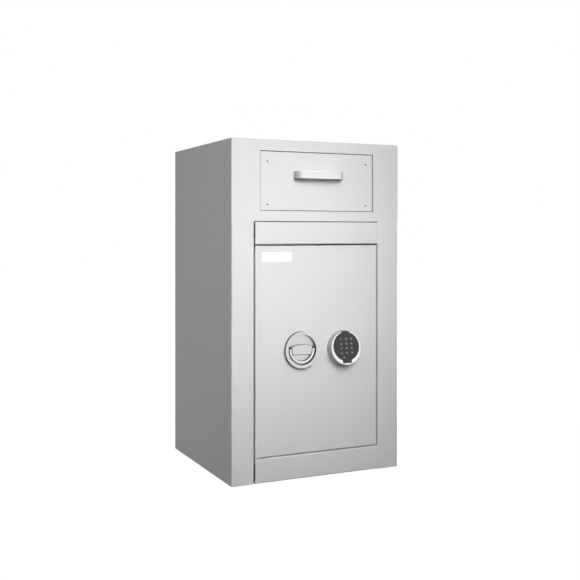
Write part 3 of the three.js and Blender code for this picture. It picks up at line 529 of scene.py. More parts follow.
def sharp_edges(shape, angle=SHARP_ANGLE):
    """Edges where two faces meet at more than an angle in degrees."""
    return [edge for edge in shape.edges if edge.calc_face_angle(0) > math.radians(angle)]


def copied(node):
    """A solid as a merged bmesh whose flat sides are whole faces."""
    shape = bmesh.new()
    shape.from_mesh(frame["nodes"][node].data)
    bmesh.ops.remove_doubles(shape, verts=shape.verts, dist=SAME_PLACE)
    bmesh.ops.dissolve_limit(shape, angle_limit=SAME_PLANE, verts=shape.verts, edges=shape.edges)
    return shape


def softened(node, slot, radius):
    """Copies a solid, rounds its cut edges and lets it stand for the solid."""
    shape = copied(node)
    rounded(shape, sharp_edges(shape), radius, segments=2)
    piece(node + "_shape", shape, BODY_OF[node], slot, node)


print("edges past", SHARP_ANGLE, "degrees are rounded")

# %% Soften the panels
SHEET_EDGE = 0.4 * MM
PANELS = {
    "cabinet_paint": ["left_side_panel", "right_side_panel", "back_panel", "roof_panel", "base_panel",
                      "upper_front_plate", "header_panel", "sill_panel", "drawer_front_plate", "door_plate"],
    "inner_paint": ["deck_plate", "inner_liner", "chute_collar", "door_pan", "door_back_cover"],
    "board_filling": ["wall_filling"],
    "zinc_steel": ["guide_plate_left", "guide_plate_right", "rail_left", "rail_right", "ramp_left",
                   "ramp_right", "drawer_box", "tilting_floor", "cam_disc", "draw_bar", "bolt_bar",
                   "lock_case"],
    "plain_steel": ["runner_left", "runner_right", "dog_bar", "lock_bolt", "floor_hinge_rod", "bail_pin",
                    "hinge_pin_upper", "hinge_pin_lower"],
    "nylon": ["floor_glide_left", "floor_glide_right"],
}

for slot, nodes in PANELS.items():
    for node in nodes:
        softened(node, slot, SHEET_EDGE)

# %% [markdown]
# The blank plate on the door is made like the panels. It is only half a millimetre thick, and two
# panel radii would meet in its edge and leave faces without height, so its radius is finer.

# %% Blank plate on the door
LABEL_EDGE = 0.12 * MM
softened("blank_label", "blank_plate", LABEL_EDGE)

# %% [markdown]
# ## Turned pieces
# The three door bolts are round bar with a rounded tip, so that they find their holes when the door
# isn't quite shut. A cylinder would need its end bevelled later. Turning is closer to the lathe: half
# of the section is drawn, its corners are rounded, and it is spun about its axis. Collars, screws
# and rivets are made the same way further down.

# %% Turning a profile
CORNER_SEGMENTS = 6


def corner_rounded(shape, corner, radius, segments=CORNER_SEGMENTS):
    """Rounds one corner of an outline."""
    bmesh.ops.bevel(shape, geom=[corner], offset=radius, offset_type="OFFSET", affect="VERTICES",
                    segments=segments, profile=0.5, material=-1, clamp_overlap=True)


def turned(profile, centre, along, steps):
    """Spins a profile of (radius, reach, rounding) about the axis through centre.

    A profile that starts off the axis is closed, and makes a ring.
    """
    shape = bmesh.new()
    across = along.orthogonal().normalized()
    corners = [shape.verts.new(centre + across * radius + along * reach) for radius, reach, _ in profile]
    pairs = list(zip(corners, corners[1:]))
    if profile[0][0] > 0:
        pairs.append((corners[-1], corners[0]))
    for pair in pairs:
        shape.edges.new(pair)
    for corner, (_, _, rounding) in zip(corners, profile):
        if rounding > 0:
            corner_rounded(shape, corner, rounding)
    bmesh.ops.spin(shape, geom=shape.verts[:] + shape.edges[:], cent=centre, axis=along, dvec=(0, 0, 0),
                   angle=2 * math.pi, steps=steps, use_merge=True, use_duplicate=False)
    bmesh.ops.remove_doubles(shape, verts=shape.verts, dist=SAME_PLACE)
    bmesh.ops.recalc_face_normals(shape, faces=shape.faces)
    return shape


print("a rounded corner of a profile has", CORNER_SEGMENTS, "segments")

# %% Door bolts
BOLT_TIP = 2.5 * MM
BOLT_STEPS = 64
RIGHTWARD = Vector((1, 0, 0))

for node in ("bolt_lower", "bolt_middle", "bolt_upper"):
    bolt_low, bolt_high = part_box(node)
    foot = Vector((bolt_low.x, middle(node).y, middle(node).z))
    radius = (bolt_high.z - bolt_low.z) / 2
    length = bolt_high.x - bolt_low.x
    profile = [(0, 0, 0), (radius, 0, 0), (radius, length, BOLT_TIP), (0, length, 0)]
    piece(node + "_rod", turned(profile, foot, RIGHTWARD, BOLT_STEPS), BODY_OF[node], "plain_steel", node)

# %% [markdown]
# ## Dark strips in the seams
# Black strips close the seam over the header and lie behind the edge of the drawer front. They are
# painted shade, which darkens these seams where shade falls. Mostly their edge shows, as a dark
# line, so plain bars between two corners are enough, and they take their corners from the plates
# beside them.

# %% Strip in the header's seam
STRIP_GAP = 0.1 * MM
STRIP_DEPTH = 1.6 * MM
SEAM_SETBACK = 0.9 * MM


def bar_between(low, high):
    """A straight bar between two corners."""
    shape = bmesh.new()
    bmesh.ops.create_cube(shape, size=1)
    bmesh.ops.scale(shape, vec=high - low, verts=shape.verts)
    bmesh.ops.translate(shape, vec=(low + high) / 2, verts=shape.verts)
    return shape


header_low, header_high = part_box("header_panel")
upper_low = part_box("upper_front_plate")[0]
strip_front = header_low.y + SEAM_SETBACK
seam = bar_between(Vector((header_low.x, strip_front, header_high.z + STRIP_GAP)),
                   Vector((header_high.x, strip_front + STRIP_DEPTH, upper_low.z - STRIP_GAP)))
# The strip is painted shade: a dark bar where the seam over the header falls into shade.
piece("header_seam_shade_strip", seam, "cabinet", "black_plastic")

# %% Dark strip behind the drawer front, as painted shade
SHADE_STRIP_SPREAD = 1.1 * MM
SHADE_STRIP_LAP = 4 * MM
SHADE_STRIP_DEPTH = 1.4 * MM

front_low, front_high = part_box("drawer_front_plate")
shade_strip_back = front_high.y + SHADE_STRIP_DEPTH
spread = Vector((SHADE_STRIP_SPREAD, 0, SHADE_STRIP_SPREAD))
lap = Vector((SHADE_STRIP_LAP, 0, SHADE_STRIP_LAP))
rim_low, rim_high = front_low - spread, front_high + spread
hole_low, hole_high = front_low + lap, front_high - lap
shade_strip_bars = {
    "lower": (rim_low.x, rim_low.z, rim_high.x, hole_low.z),
    "upper": (rim_low.x, hole_high.z, rim_high.x, rim_high.z),
    "left": (rim_low.x, hole_low.z, hole_low.x, hole_high.z),
    "right": (hole_high.x, hole_low.z, rim_high.x, hole_high.z),
}
# Each bar is painted shade: it darkens the gap round the drawer front.
for word, (left, bottom, right, top) in shade_strip_bars.items():
    bar = bar_between(Vector((left, front_high.y, bottom)), Vector((right, shade_strip_back, top)))
    piece("drawer_shade_strip_" + word, bar, "drawer", "black_plastic")

# %% [markdown]
# ## The pull
# A flat bar bent twice and screwed on from behind. A curve with a bevel could follow the bends, but
# it pinches so thick a bar on the inside of each bend. So its plan is drawn instead: the outer line
# runs round both bends, and the inner line comes back a bar's thickness inside it.

# %% Drawer pull
PULL_THICKNESS = 5 * MM
PULL_CORNER = 14 * MM
PULL_EDGE = 1.4 * MM
PULL_SHARP = 70
BEND_SEGMENTS = 12


def moved_verts(result):
    """The new corners that an extrusion has made."""
    return [item for item in result["geom"] if isinstance(item, bmesh.types.BMVert)]


def bent_bar(low, high, thickness, corner):
    """A flat bar bent into a bracket whose open side lies on the drawer."""
    shape = bmesh.new()
    outer = [(low.x, high.y), (low.x, low.y), (high.x, low.y), (high.x, high.y)]
    inner = [(high.x - thickness, high.y), (high.x - thickness, low.y + thickness),
             (low.x + thickness, low.y + thickness), (low.x + thickness, high.y)]
    corners = [shape.verts.new((x, y, low.z)) for x, y in outer + inner]
    shape.faces.new(corners)
    for outer_bend in (corners[1], corners[2]):
        corner_rounded(shape, outer_bend, corner, BEND_SEGMENTS)
    for inner_bend in (corners[5], corners[6]):
        corner_rounded(shape, inner_bend, corner - thickness, BEND_SEGMENTS)
    grown = bmesh.ops.extrude_face_region(shape, geom=shape.faces[:])
    bmesh.ops.translate(shape, verts=moved_verts(grown), vec=(0, 0, high.z - low.z))
    bmesh.ops.recalc_face_normals(shape, faces=shape.faces)
    return shape


pull = bent_bar(*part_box("drawer_pull"), PULL_THICKNESS, PULL_CORNER)
rounded(pull, sharp_edges(pull, PULL_SHARP), PULL_EDGE, segments=4)
piece("pull_bar", pull, "drawer", "satin_nickel", "drawer_pull", coat="pull_painted_light")

# %% [markdown]
# ## Screws and rivets
# Four small button screws hold the drawer front to the box. At this size a thread never shows, and
# a head with a round socket is what the eye reads as a screw, so only the head is turned.

# %% Screws in the drawer front
FORWARD = Vector((0, -1, 0))
SCREW_STEPS = 24
SOCKET_SHARE = 0.42
SOCKET_FLOOR_SHARE = 0.35
CROWN_SHARE = 0.7
SKIRT_SHARE = 0.25
SKIRT_ROUNDING_SHARE = 0.2


def button_screw(name, centre, radius, reach, body, slot, coat=None, facing=FORWARD):
    """A low round head on a flat face. The shares are of its radius or of its reach."""
    socket, crown = radius * SOCKET_SHARE, radius * CROWN_SHARE
    profile = [
        (0, reach * SOCKET_FLOOR_SHARE, 0),
        (socket, reach * SOCKET_FLOOR_SHARE, 0),
        (socket, reach, 0),
        (crown, reach, 0),
        (radius, reach * SKIRT_SHARE, reach * SKIRT_ROUNDING_SHARE),
        (radius, 0, 0),
        (0, 0, 0),
    ]
    piece(name, turned(profile, centre, facing, SCREW_STEPS), body, slot, coat=coat)


FRONT_SCREW_RADIUS = 1.9 * MM
FRONT_SCREW_REACH = 0.9 * MM
FRONT_SCREW_SIDE = 131.4 * MM
FRONT_SCREW_FROM_FOOT = 13.2 * MM
FRONT_SCREW_FROM_TOP = 23 * MM
screw_rows = {"lower": front_low.z + FRONT_SCREW_FROM_FOOT, "upper": front_high.z - FRONT_SCREW_FROM_TOP}
for row, height in screw_rows.items():
    for word, side in (("left", -1), ("right", 1)):
        centre = Vector((side * FRONT_SCREW_SIDE, front_low.y, height))
        button_screw(f"front_screw_{row}_{word}", centre, FRONT_SCREW_RADIUS, FRONT_SCREW_REACH,
                     "drawer", "plain_steel", "dark_screw")

# %% [markdown]
# The cover behind the bolt work is held by eight larger screws round its edge. Eight places could
# be listed, but a grid of three by three without the one in its middle follows the cover's size.

# %% Screws in the door's back cover
COVER_SCREW_RADIUS = 4.5 * MM
COVER_SCREW_REACH = 1.8 * MM
COVER_SCREW_INSET = 13 * MM

cover_low, cover_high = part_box("door_back_cover")
cover_middle = middle("door_back_cover")
columns = (cover_low.x + COVER_SCREW_INSET, cover_middle.x, cover_high.x - COVER_SCREW_INSET)
rows = (cover_low.z + COVER_SCREW_INSET, cover_middle.z, cover_high.z - COVER_SCREW_INSET)
for row, z in enumerate(rows):
    for column, x in enumerate(columns):
        if (row, column) != (1, 1):
            button_screw(f"cover_screw_{row}_{column}", Vector((x, cover_high.y, z)), COVER_SCREW_RADIUS,
                         COVER_SCREW_REACH, "door", "zinc_steel", facing=-FORWARD)

# %% [markdown]
# Blind rivets hold the runners on the drawer. Their shanks are inside the sheet, so only the heads
# are made. They show inside the drawer when it is pulled out.

# %% Rivets of the drawer's runners
RIVET_RADIUS = 2.8 * MM
RIVET_REACH = 0.9 * MM
RIVET_ROUNDING = 0.7 * MM
RIVET_INSET = 22 * MM
RIVETS_A_SIDE = 4
BOX_SHEET = 2 * MM

rivet_profile = [(0, RIVET_REACH, 0), (RIVET_RADIUS, RIVET_REACH, RIVET_ROUNDING), (RIVET_RADIUS, 0, 0),
                 (0, 0, 0)]
for word, side in (("left", -1), ("right", 1)):
    runner_low, runner_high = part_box("runner_" + word)
    wall = min(abs(runner_low.x), abs(runner_high.x)) - BOX_SHEET
    pitch = (runner_high.y - runner_low.y - 2 * RIVET_INSET) / (RIVETS_A_SIDE - 1)
    inwards = Vector((-side, 0, 0))
    for number in range(RIVETS_A_SIDE):
        place = Vector((side * wall, runner_low.y + RIVET_INSET + number * pitch, middle("runner_" + word).z))
        head = turned(rivet_profile, place, inwards, SCREW_STEPS)
        piece(f"runner_rivet_{word}_{number}", head, "drawer", "plain_steel")

# %% [markdown]
# ## The handle
# A fixed collar stands out of the door. Inside it a dish turns with the spindle, a crossbar spans
# the dish, and a half ring, the bail, folds out of it as a grip. The collar is a black base with a
# bright face on it, and the black base is painted shade on the collar's outer wall and on the
# bowl's wall. It could be one shape with two materials, but a piece here has one finish, so two
# rings are turned, and each keeps its own edge.

# %% Collar
BOWL_RADIUS = 36 * MM
FACE_THICKNESS = 1.2 * MM
FACE_EDGE = 0.7 * MM
BASE_INSET = 0.3 * MM
COLLAR_STEPS = 128

collar_low, collar_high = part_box("handle_collar")
door_face = collar_high.y
handle_centre = middle("handle_collar")
handle_centre.y = door_face
collar_radius = (collar_high.x - collar_low.x) / 2
collar_reach = collar_high.y - collar_low.y
base_reach = collar_reach - FACE_THICKNESS
collar_base = turned([
    (BOWL_RADIUS + BASE_INSET, 0, 0),
    (BOWL_RADIUS + BASE_INSET, base_reach, 0),
    (collar_radius - BASE_INSET, base_reach, 0),
    (collar_radius - BASE_INSET, 0, 0),
], handle_centre, FORWARD, COLLAR_STEPS)
# The black base is painted shade on the collar's outer wall and on the bowl's wall.
piece("handle_base", collar_base, "door", "black_plastic", "handle_collar")
collar_face = turned([
    (BOWL_RADIUS, base_reach, 0),
    (BOWL_RADIUS, collar_reach, FACE_EDGE),
    (collar_radius, collar_reach, FACE_EDGE),
    (collar_radius, base_reach, 0),
], handle_centre, FORWARD, COLLAR_STEPS)
piece("handle_ring", collar_face, "door", "satin_nickel")

# %% [markdown]
# The dish and its spindle are one casting. Two cylinders could be joined, but one profile leaves no
# seam: it runs across the dish, back over its rim, and inwards to the spindle.

# %% Dish
DISH_RIM_GAP = 0.3 * MM
DISH_FRONT = 2 * MM
DISH_BACK = 0.3 * MM
DISH_EDGE = 0.4 * MM
DISH_STEPS = 96
SPINDLE_RADIUS = 5 * MM

dish_face = door_face - DISH_FRONT
spindle_end = door_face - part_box("handle_dish")[1].y
dish = turned([
    (0, DISH_FRONT, 0),
    (BOWL_RADIUS - DISH_RIM_GAP, DISH_FRONT, DISH_EDGE),
    (BOWL_RADIUS - DISH_RIM_GAP, DISH_BACK, 0),
    (SPINDLE_RADIUS, DISH_BACK, 0),
    (SPINDLE_RADIUS, spindle_end, 0),
    (0, spindle_end, 0),
], handle_centre, FORWARD, DISH_STEPS)
piece("handle_bowl", dish, "handle", "satin_nickel", "handle_dish")

# %% [markdown]
# The crossbar has a straight lower edge and an arched upper one, and its ends follow the bail. It
# isn't round, so it can't be turned. Its outline is pushed out of the dish instead, and only the
# rim of its front face is rounded, because its foot sits on the dish.

# %% Pushing an outline
OUTLINE_SEGMENTS = 8


def pushed(outline, start, depth, segments=OUTLINE_SEGMENTS):
    """Extrudes an upright outline of (x, z, rounding) corners from start by depth along Y."""
    shape = bmesh.new()
    corners = [shape.verts.new((x, start, z)) for x, z, _ in outline]
    shape.faces.new(corners)
    for corner, (_, _, rounding) in zip(corners, outline):
        if rounding > 0:
            corner_rounded(shape, corner, rounding, segments)
    grown = bmesh.ops.extrude_face_region(shape, geom=shape.faces[:])
    bmesh.ops.translate(shape, verts=moved_verts(grown), vec=(0, depth, 0))
    bmesh.ops.recalc_face_normals(shape, faces=shape.faces)
    return shape


def front_rim(shape):
    """The edges round the foremost face."""
    foremost = min(vert.co.y for vert in shape.verts)
    return [edge for edge in shape.edges if all(vert.co.y < foremost + SAME_PLACE for vert in edge.verts)]


print("a rounded corner of an outline has", OUTLINE_SEGMENTS, "segments")

# %% Crossbar
CROSSBAR_BELOW = 11 * MM
CROSSBAR_ABOVE = 8 * MM
CROSSBAR_ARCH = 4.5 * MM
CROSSBAR_HALF = 26 * MM
CROSSBAR_REACH = 8.2 * MM
CROSSBAR_EDGE = 1.2 * MM
ARCH_STEPS = 16

lower_half = math.sqrt(CROSSBAR_HALF ** 2 - CROSSBAR_BELOW ** 2)
bar_outline = [(-lower_half, -CROSSBAR_BELOW), (lower_half, -CROSSBAR_BELOW), (CROSSBAR_HALF, 0)]
for step in range(ARCH_STEPS + 1):
    share = 1 - 2 * step / ARCH_STEPS
    bar_outline.append((share * CROSSBAR_HALF, CROSSBAR_ABOVE + CROSSBAR_ARCH * (1 - share ** 2)))
bar_outline.append((-CROSSBAR_HALF, 0))
crossbar = pushed([(handle_centre.x + x, handle_centre.z + z, 0) for x, z in bar_outline],
                  dish_face, DISH_FRONT - CROSSBAR_REACH)
rounded(crossbar, front_rim(crossbar), CROSSBAR_EDGE, segments=4)
piece("handle_crossbar", crossbar, "handle", "satin_nickel")

# %% [markdown]
# ## The bail
# The bail is a bar with a rounded section, bent into a half ring. A curve object with a bevel would
# make it too, but a section of one's own is easier to draw as a face. The face is spun through half
# a turn, and both ends are then drawn straight up to the ears.

# %% Bail
BAIL_OUTER = 33 * MM
BAIL_WIDTH = 5.8 * MM
BAIL_ROUND = 2 * MM
BAIL_STEPS = 56
EAR_HEIGHT = 4.6 * MM


def half_ring(section, rounding=0):
    """Spins a section of (radius, y) corners through the lower half turn round the handle."""
    shape = bmesh.new()
    corners = [shape.verts.new((handle_centre.x + radius, y, handle_centre.z)) for radius, y in section]
    shape.faces.new(corners)
    if rounding > 0:
        for corner in corners:
            corner_rounded(shape, corner, rounding, segments=5)
    bmesh.ops.spin(shape, geom=shape.faces[:], cent=handle_centre, axis=(0, 1, 0), dvec=(0, 0, 0),
                   angle=math.pi, steps=BAIL_STEPS, use_merge=False, use_duplicate=False)
    bmesh.ops.recalc_face_normals(shape, faces=shape.faces)
    return shape


bail_low, bail_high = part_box("bail_grip")
bail_inner = BAIL_OUTER - BAIL_WIDTH
bail = half_ring([(bail_inner, bail_low.y), (BAIL_OUTER, bail_low.y), (BAIL_OUTER, bail_high.y),
                  (bail_inner, bail_high.y)], BAIL_ROUND)
ear_foot = bail_high.z - EAR_HEIGHT
for end in [face for face in bail.faces if len(face.verts) > 4]:
    grown = bmesh.ops.extrude_face_region(bail, geom=[end])
    bmesh.ops.translate(bail, verts=moved_verts(grown), vec=(0, 0, ear_foot - handle_centre.z))
    bmesh.ops.delete(bail, geom=[end], context="FACES_ONLY")
bmesh.ops.recalc_face_normals(bail, faces=bail.faces)
piece("bail_ring", bail, "bail", "satin_nickel", "bail_grip", coat="bright_bail")

# %% [markdown]
# A black ear caps each end of the bail, where the pin goes through. It has flat sides and a round
# top, so it is a pushed outline with two rounded corners. It reaches a little way down over the
# bar, and no gap shows between them.

# %% Ears of the bail
EAR_INSET = 0.2 * MM
EAR_ROUND = 2 * MM
EAR_SETBACK = 0.5 * MM
EAR_LAP = 1 * MM

for word, side in (("left", -1), ("right", 1)):
    ear_middle = handle_centre.x + side * (BAIL_OUTER - BAIL_WIDTH / 2)
    half = BAIL_WIDTH / 2 - EAR_INSET
    ear = pushed([
        (ear_middle - half, ear_foot - EAR_LAP, 0),
        (ear_middle + half, ear_foot - EAR_LAP, 0),
        (ear_middle + half, bail_high.z, EAR_ROUND),
        (ear_middle - half, bail_high.z, EAR_ROUND),
    ], bail_low.y + EAR_SETBACK, bail_high.y - bail_low.y - 2 * EAR_SETBACK)
    piece("bail_ear_" + word, ear, "bail", "black_plastic")

# %% [markdown]
# Thin black strips lie under the bail and round the crossbar. They are painted shade: from the
# front they show as a dark line along both sides of the ring and along the crossbar, where shade
# falls in the gaps. A darker colour on the dish could do it too, but a strip also shows its
# thickness when the bail is folded out. The bail's half ring and the crossbar's outline are used
# again for them, each a little wider.

# %% Dark strips under the bail and the crossbar, as painted shade
SHADE_RING_PEEK = 0.7 * MM
SHADE_RING_HEIGHT = 1.2 * MM
SHADE_STRIP_PEEK = 0.4 * MM
SHADE_STRIP_DROP = 1.7 * MM
SHADE_STRIP_HEIGHT = 0.8 * MM

shade_ring_inner = bail_inner - SHADE_RING_PEEK
shade_ring_outer = BAIL_OUTER + SHADE_RING_PEEK
shade_ring = half_ring([(shade_ring_inner, dish_face), (shade_ring_outer, dish_face),
                    (shade_ring_outer, dish_face - SHADE_RING_HEIGHT), (shade_ring_inner, dish_face - SHADE_RING_HEIGHT)])
# The ring under the bail is painted shade, a dark line along both sides of the bail.
piece("bail_shade_ring", shade_ring, "handle", "black_plastic")

# The strip round the crossbar is painted shade, a dark line along its edges.
widening = 1 + SHADE_STRIP_PEEK / CROSSBAR_HALF
shade_strip_outline = [(handle_centre.x + x * widening,
                   handle_centre.z + z + (SHADE_STRIP_PEEK if z >= 0 else -SHADE_STRIP_DROP), 0)
                  for x, z in bar_outline]
piece("crossbar_shade_strip", pushed(shade_strip_outline, dish_face, -SHADE_STRIP_HEIGHT), "handle", "black_plastic")

# %% [markdown]
# ## The keypad
# A plated housing tapers towards its front. A black insert lies in it, with a tab up and a tab
# down, and twelve keys come through the insert. The front leans back, so the housing is deeper at
# its foot. Slanted shapes are hard to draw, so everything on the front is built upright, as on a
# bench, and turned back into that plane when it is done.

# %% Bench and lean
HOUSING_REACH = 21 * MM
HOUSING_LEAN = math.radians(9)

keypad_centre = middle("keypad_housing")
keypad_centre.y = door_face
lean_pivot = keypad_centre + FORWARD * HOUSING_REACH
lean_back = Matrix.Rotation(-HOUSING_LEAN, 3, "X")


def leaned(shape):
    """Turns what was built upright back into the plane of the front."""
    bmesh.ops.rotate(shape, verts=shape.verts, cent=lean_pivot, matrix=lean_back)
    return shape


def slanted(shape):
    """Slants a turned shape more and more towards its front, and leaves its foot on the door."""
    for vert in shape.verts:
        share = (door_face - vert.co.y) / HOUSING_REACH
        vert.co.y += share * (vert.co.z - keypad_centre.z) * math.tan(HOUSING_LEAN)
    return shape


def upright(point):
    """Where a point of the leaning front was on the bench."""
    return lean_pivot + lean_back.inverted() @ (point - lean_pivot)


print("the keypad leans back by", round(math.degrees(HOUSING_LEAN)), "degrees about", tuple(lean_pivot))

# %% [markdown]
# The insert is a disc with a narrow tab up and a wide one down. Its outline serves twice: as the
# insert itself, and grown by a gap as the tool that cuts the recess for it. So both always fit.

# %% The insert's outline
INSERT_RADIUS = 34.6 * MM
INSERT_RISE = 3.7 * MM
INSERT_PROUD = 0.3 * MM
INSERT_THICKNESS = 5 * MM
INSERT_STEPS = 56
UPPER_TAB_HALF = 9 * MM
LOWER_TAB_HALF = 12 * MM
UPPER_TAB = 38.5 * MM
LOWER_TAB = 35.5 * MM

insert_front = lean_pivot.y - INSERT_PROUD
insert_back = insert_front + INSERT_THICKNESS


def insert_blank(grow, front, back):
    """The insert's outline, grown by a gap and pushed from front to back."""
    radius = INSERT_RADIUS + grow
    lower_tab, upper_tab = LOWER_TAB_HALF + grow, UPPER_TAB_HALF + grow
    foot, top = -LOWER_TAB - grow, UPPER_TAB + grow
    first = math.asin(upper_tab / radius)
    last = math.pi - math.asin(lower_tab / radius)
    angles = [first + (last - first) * step / INSERT_STEPS for step in range(INSERT_STEPS + 1)]
    right_side = [(math.sin(angle) * radius, INSERT_RISE + math.cos(angle) * radius) for angle in angles]
    left_side = [(-x, z) for x, z in reversed(right_side)]
    outline = right_side + [(lower_tab, foot), (-lower_tab, foot)]
    outline += left_side + [(-upper_tab, top), (upper_tab, top)]
    placed = [(keypad_centre.x + x, keypad_centre.z + z, 0) for x, z in outline]
    return pushed(placed, front, back - front)


print("the insert is", round(INSERT_THICKNESS / MM), "mm thick")

# %% [markdown]
# A bmesh has no operator that cuts one shape out of another. The Boolean modifier has one, so two
# helper objects are made for it, its result is read back, and the helpers are thrown away.

# %% Cutting one shape with another
def carved(shape, *tools):
    """Cuts tools out of a shape. All of them are bmeshes, and they are used up."""
    stock = bpy.data.objects.new("stock", bpy.data.meshes.new("stock"))
    bpy.context.collection.objects.link(stock)
    shape.to_mesh(stock.data)
    shape.free()
    helpers = [stock]
    for tool in tools:
        cutter = bpy.data.objects.new("cutter", bpy.data.meshes.new("cutter"))
        bpy.context.collection.objects.link(cutter)
        tool.to_mesh(cutter.data)
        tool.free()
        cut = stock.modifiers.new("cut", "BOOLEAN")
        cut.operation = "DIFFERENCE"
        cut.solver = "EXACT"
        cut.object = cutter
        helpers.append(cutter)
    result = bmesh.new()
    result.from_object(stock, bpy.context.evaluated_depsgraph_get())
    for helper in helpers:
        mesh = helper.data
        bpy.data.objects.remove(helper)
        bpy.data.meshes.remove(mesh)
    print("carved with", len(tools), "tools")
    return result


# %% [markdown]
# The housing is a cast case with a bright ring round its front. The case is a darker silver than
# the ring, as painted shade on its tapering wall. Both are turned straight and then slanted, so
# that the foot stays flat on the door while the front takes its lean. Both get the same recess.

# %% Case
HOUSING_FRONT_RADIUS = 39.31 * MM
HOUSING_STEPS = 128
RING_THICKNESS = 1.6 * MM
WALL_INSET = 0.15 * MM
INSERT_GAP = 0.3 * MM
TOOL_SPARE = 1 * MM

housing_low, housing_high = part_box("keypad_housing")
housing_radius = (housing_high.x - housing_low.x) / 2


def wall_radius(reach):
    """The radius of the tapering wall at a distance from the door."""
    return housing_radius + (HOUSING_FRONT_RADIUS - housing_radius) * reach / HOUSING_REACH


def recess():
    """The tool that cuts the insert's place, a little longer at the front."""
    return leaned(insert_blank(INSERT_GAP, insert_front - TOOL_SPARE, insert_back))


ring_back = HOUSING_REACH - RING_THICKNESS
case = slanted(turned([
    (0, 0, 0),
    (housing_radius - WALL_INSET, 0, 0),
    (wall_radius(ring_back) - WALL_INSET, ring_back, 0),
    (0, ring_back, 0),
], keypad_centre, FORWARD, HOUSING_STEPS))
# The case wears the darker silver, as painted shade on its wall.
piece("keypad_case", carved(case, recess()), "door", "bright_trim", "keypad_housing", coat="painted_shade_silver")

# %% Ring
HOUSING_EDGE = 1 * MM

ring = slanted(turned([
    (0, ring_back, 0),
    (wall_radius(ring_back), ring_back, 0),
    (HOUSING_FRONT_RADIUS, HOUSING_REACH, HOUSING_EDGE),
    (0, HOUSING_REACH, 0),
], keypad_centre, FORWARD, HOUSING_STEPS))
piece("keypad_ring", carved(ring, recess()), "door", "bright_trim")

# %% [markdown]
# A black lid runs from the upper tab over the rim and a little way back along the wall, where the
# battery goes in. It hugs a cone, so it is a short turn of its section about the same axis, and it
# slants with the housing.

# %% Lid on the top of the housing
LID_PROUD = 0.4 * MM
LID_DEPTH = 1.2 * MM
LID_LAP = 2.6 * MM
LID_HALF_WIDTH = 11.2 * MM
LID_END = 15.5 * MM
LID_STEPS = 14

lid_turn = 2 * math.asin(LID_HALF_WIDTH / HOUSING_FRONT_RADIUS)
lid_profile = [
    (HOUSING_FRONT_RADIUS - LID_LAP, HOUSING_REACH + INSERT_PROUD),
    (HOUSING_FRONT_RADIUS - LID_PROUD, HOUSING_REACH + INSERT_PROUD),
    (HOUSING_FRONT_RADIUS + LID_PROUD, HOUSING_REACH - HOUSING_EDGE),
    (wall_radius(LID_END) + LID_PROUD, LID_END),
    (wall_radius(LID_END) - LID_DEPTH, LID_END),
    (HOUSING_FRONT_RADIUS - LID_DEPTH, ring_back),
    (HOUSING_FRONT_RADIUS - LID_LAP, ring_back),
]
lid = bmesh.new()
lid.faces.new([lid.verts.new(keypad_centre + Vector((0, -reach, radius))) for radius, reach in lid_profile])
bmesh.ops.rotate(lid, verts=lid.verts, cent=keypad_centre, matrix=Matrix.Rotation(-lid_turn / 2, 3, "Y"))
bmesh.ops.spin(lid, geom=lid.faces[:], cent=keypad_centre, axis=(0, 1, 0), dvec=(0, 0, 0),
               angle=lid_turn, steps=LID_STEPS, use_merge=False, use_duplicate=False)
bmesh.ops.recalc_face_normals(lid, faces=lid.faces)
piece("keypad_lid", slanted(lid), "door", "black_plastic")

# %% [markdown]
# A thin lip crosses the insert over its lower tab. It could be cut from the insert, but a bar with
# two rounded corners, pushed as the ears are and set into the insert's face, looks the same.

# %% Lip over the lower tab
LIP_RISE = 5.2 * MM
LIP_HEIGHT = 1.3 * MM
LIP_PROUD = 0.7 * MM
LIP_EDGE = 0.5 * MM

lip_foot = keypad_centre.z - LOWER_TAB + LIP_RISE
lip_top = lip_foot + LIP_HEIGHT
lip = pushed([
    (keypad_centre.x - LOWER_TAB_HALF, lip_foot, 0),
    (keypad_centre.x + LOWER_TAB_HALF, lip_foot, 0),
    (keypad_centre.x + LOWER_TAB_HALF, lip_top, LIP_EDGE),
    (keypad_centre.x - LOWER_TAB_HALF, lip_top, LIP_EDGE),
], insert_front - LIP_PROUD, LIP_PROUD + INSERT_PROUD, segments=3)
piece("keypad_lip", leaned(lip), "door", "key_plastic")

# %% [markdown]
# The keys are rounded rectangles with a domed rim. Their pockets in the insert are the same outline,
# a little larger. One function makes both from the place of each key's solid, so that no key can
# miss its pocket.

# %% Insert with its pockets
KEY_HALF_WIDTH = 5 * MM
KEY_HALF_HEIGHT = 3.8 * MM
KEY_LENGTH = 3.1 * MM
KEY_CORNER = 2.4 * MM
KEY_GAP = 0.3 * MM
POCKET_SPARE = 1.3 * MM
KEY_NODES = [node for node in BODY_OF if node.startswith("key_")]
CORNER_SIGNS = ((-1, -1), (1, -1), (1, 1), (-1, 1))


def key_blank(node, grow, front_spare, back_spare):
    """A key's outline, grown by a gap and lengthened at both ends, on the bench."""
    place = upright(middle(node))
    width, height = KEY_HALF_WIDTH + grow, KEY_HALF_HEIGHT + grow
    outline = [(place.x + x * width, place.z + z * height, KEY_CORNER + grow) for x, z in CORNER_SIGNS]
    return pushed(outline, place.y - KEY_LENGTH / 2 - front_spare, KEY_LENGTH + front_spare + back_spare)


pockets = [key_blank(node, KEY_GAP, TOOL_SPARE, POCKET_SPARE) for node in KEY_NODES]
insert = insert_blank(0, insert_front, insert_back)
piece("keypad_face", leaned(carved(insert, *pockets)), "door", "black_plastic", "keypad_insert")

# %% Keys
KEY_DOME = 0.6 * MM

for node in KEY_NODES:
    key = key_blank(node, 0, 0, 0)
    rounded(key, front_rim(key), KEY_DOME)
    piece(node + "_cap", leaned(key), BODY_OF[node], "key_plastic", node)

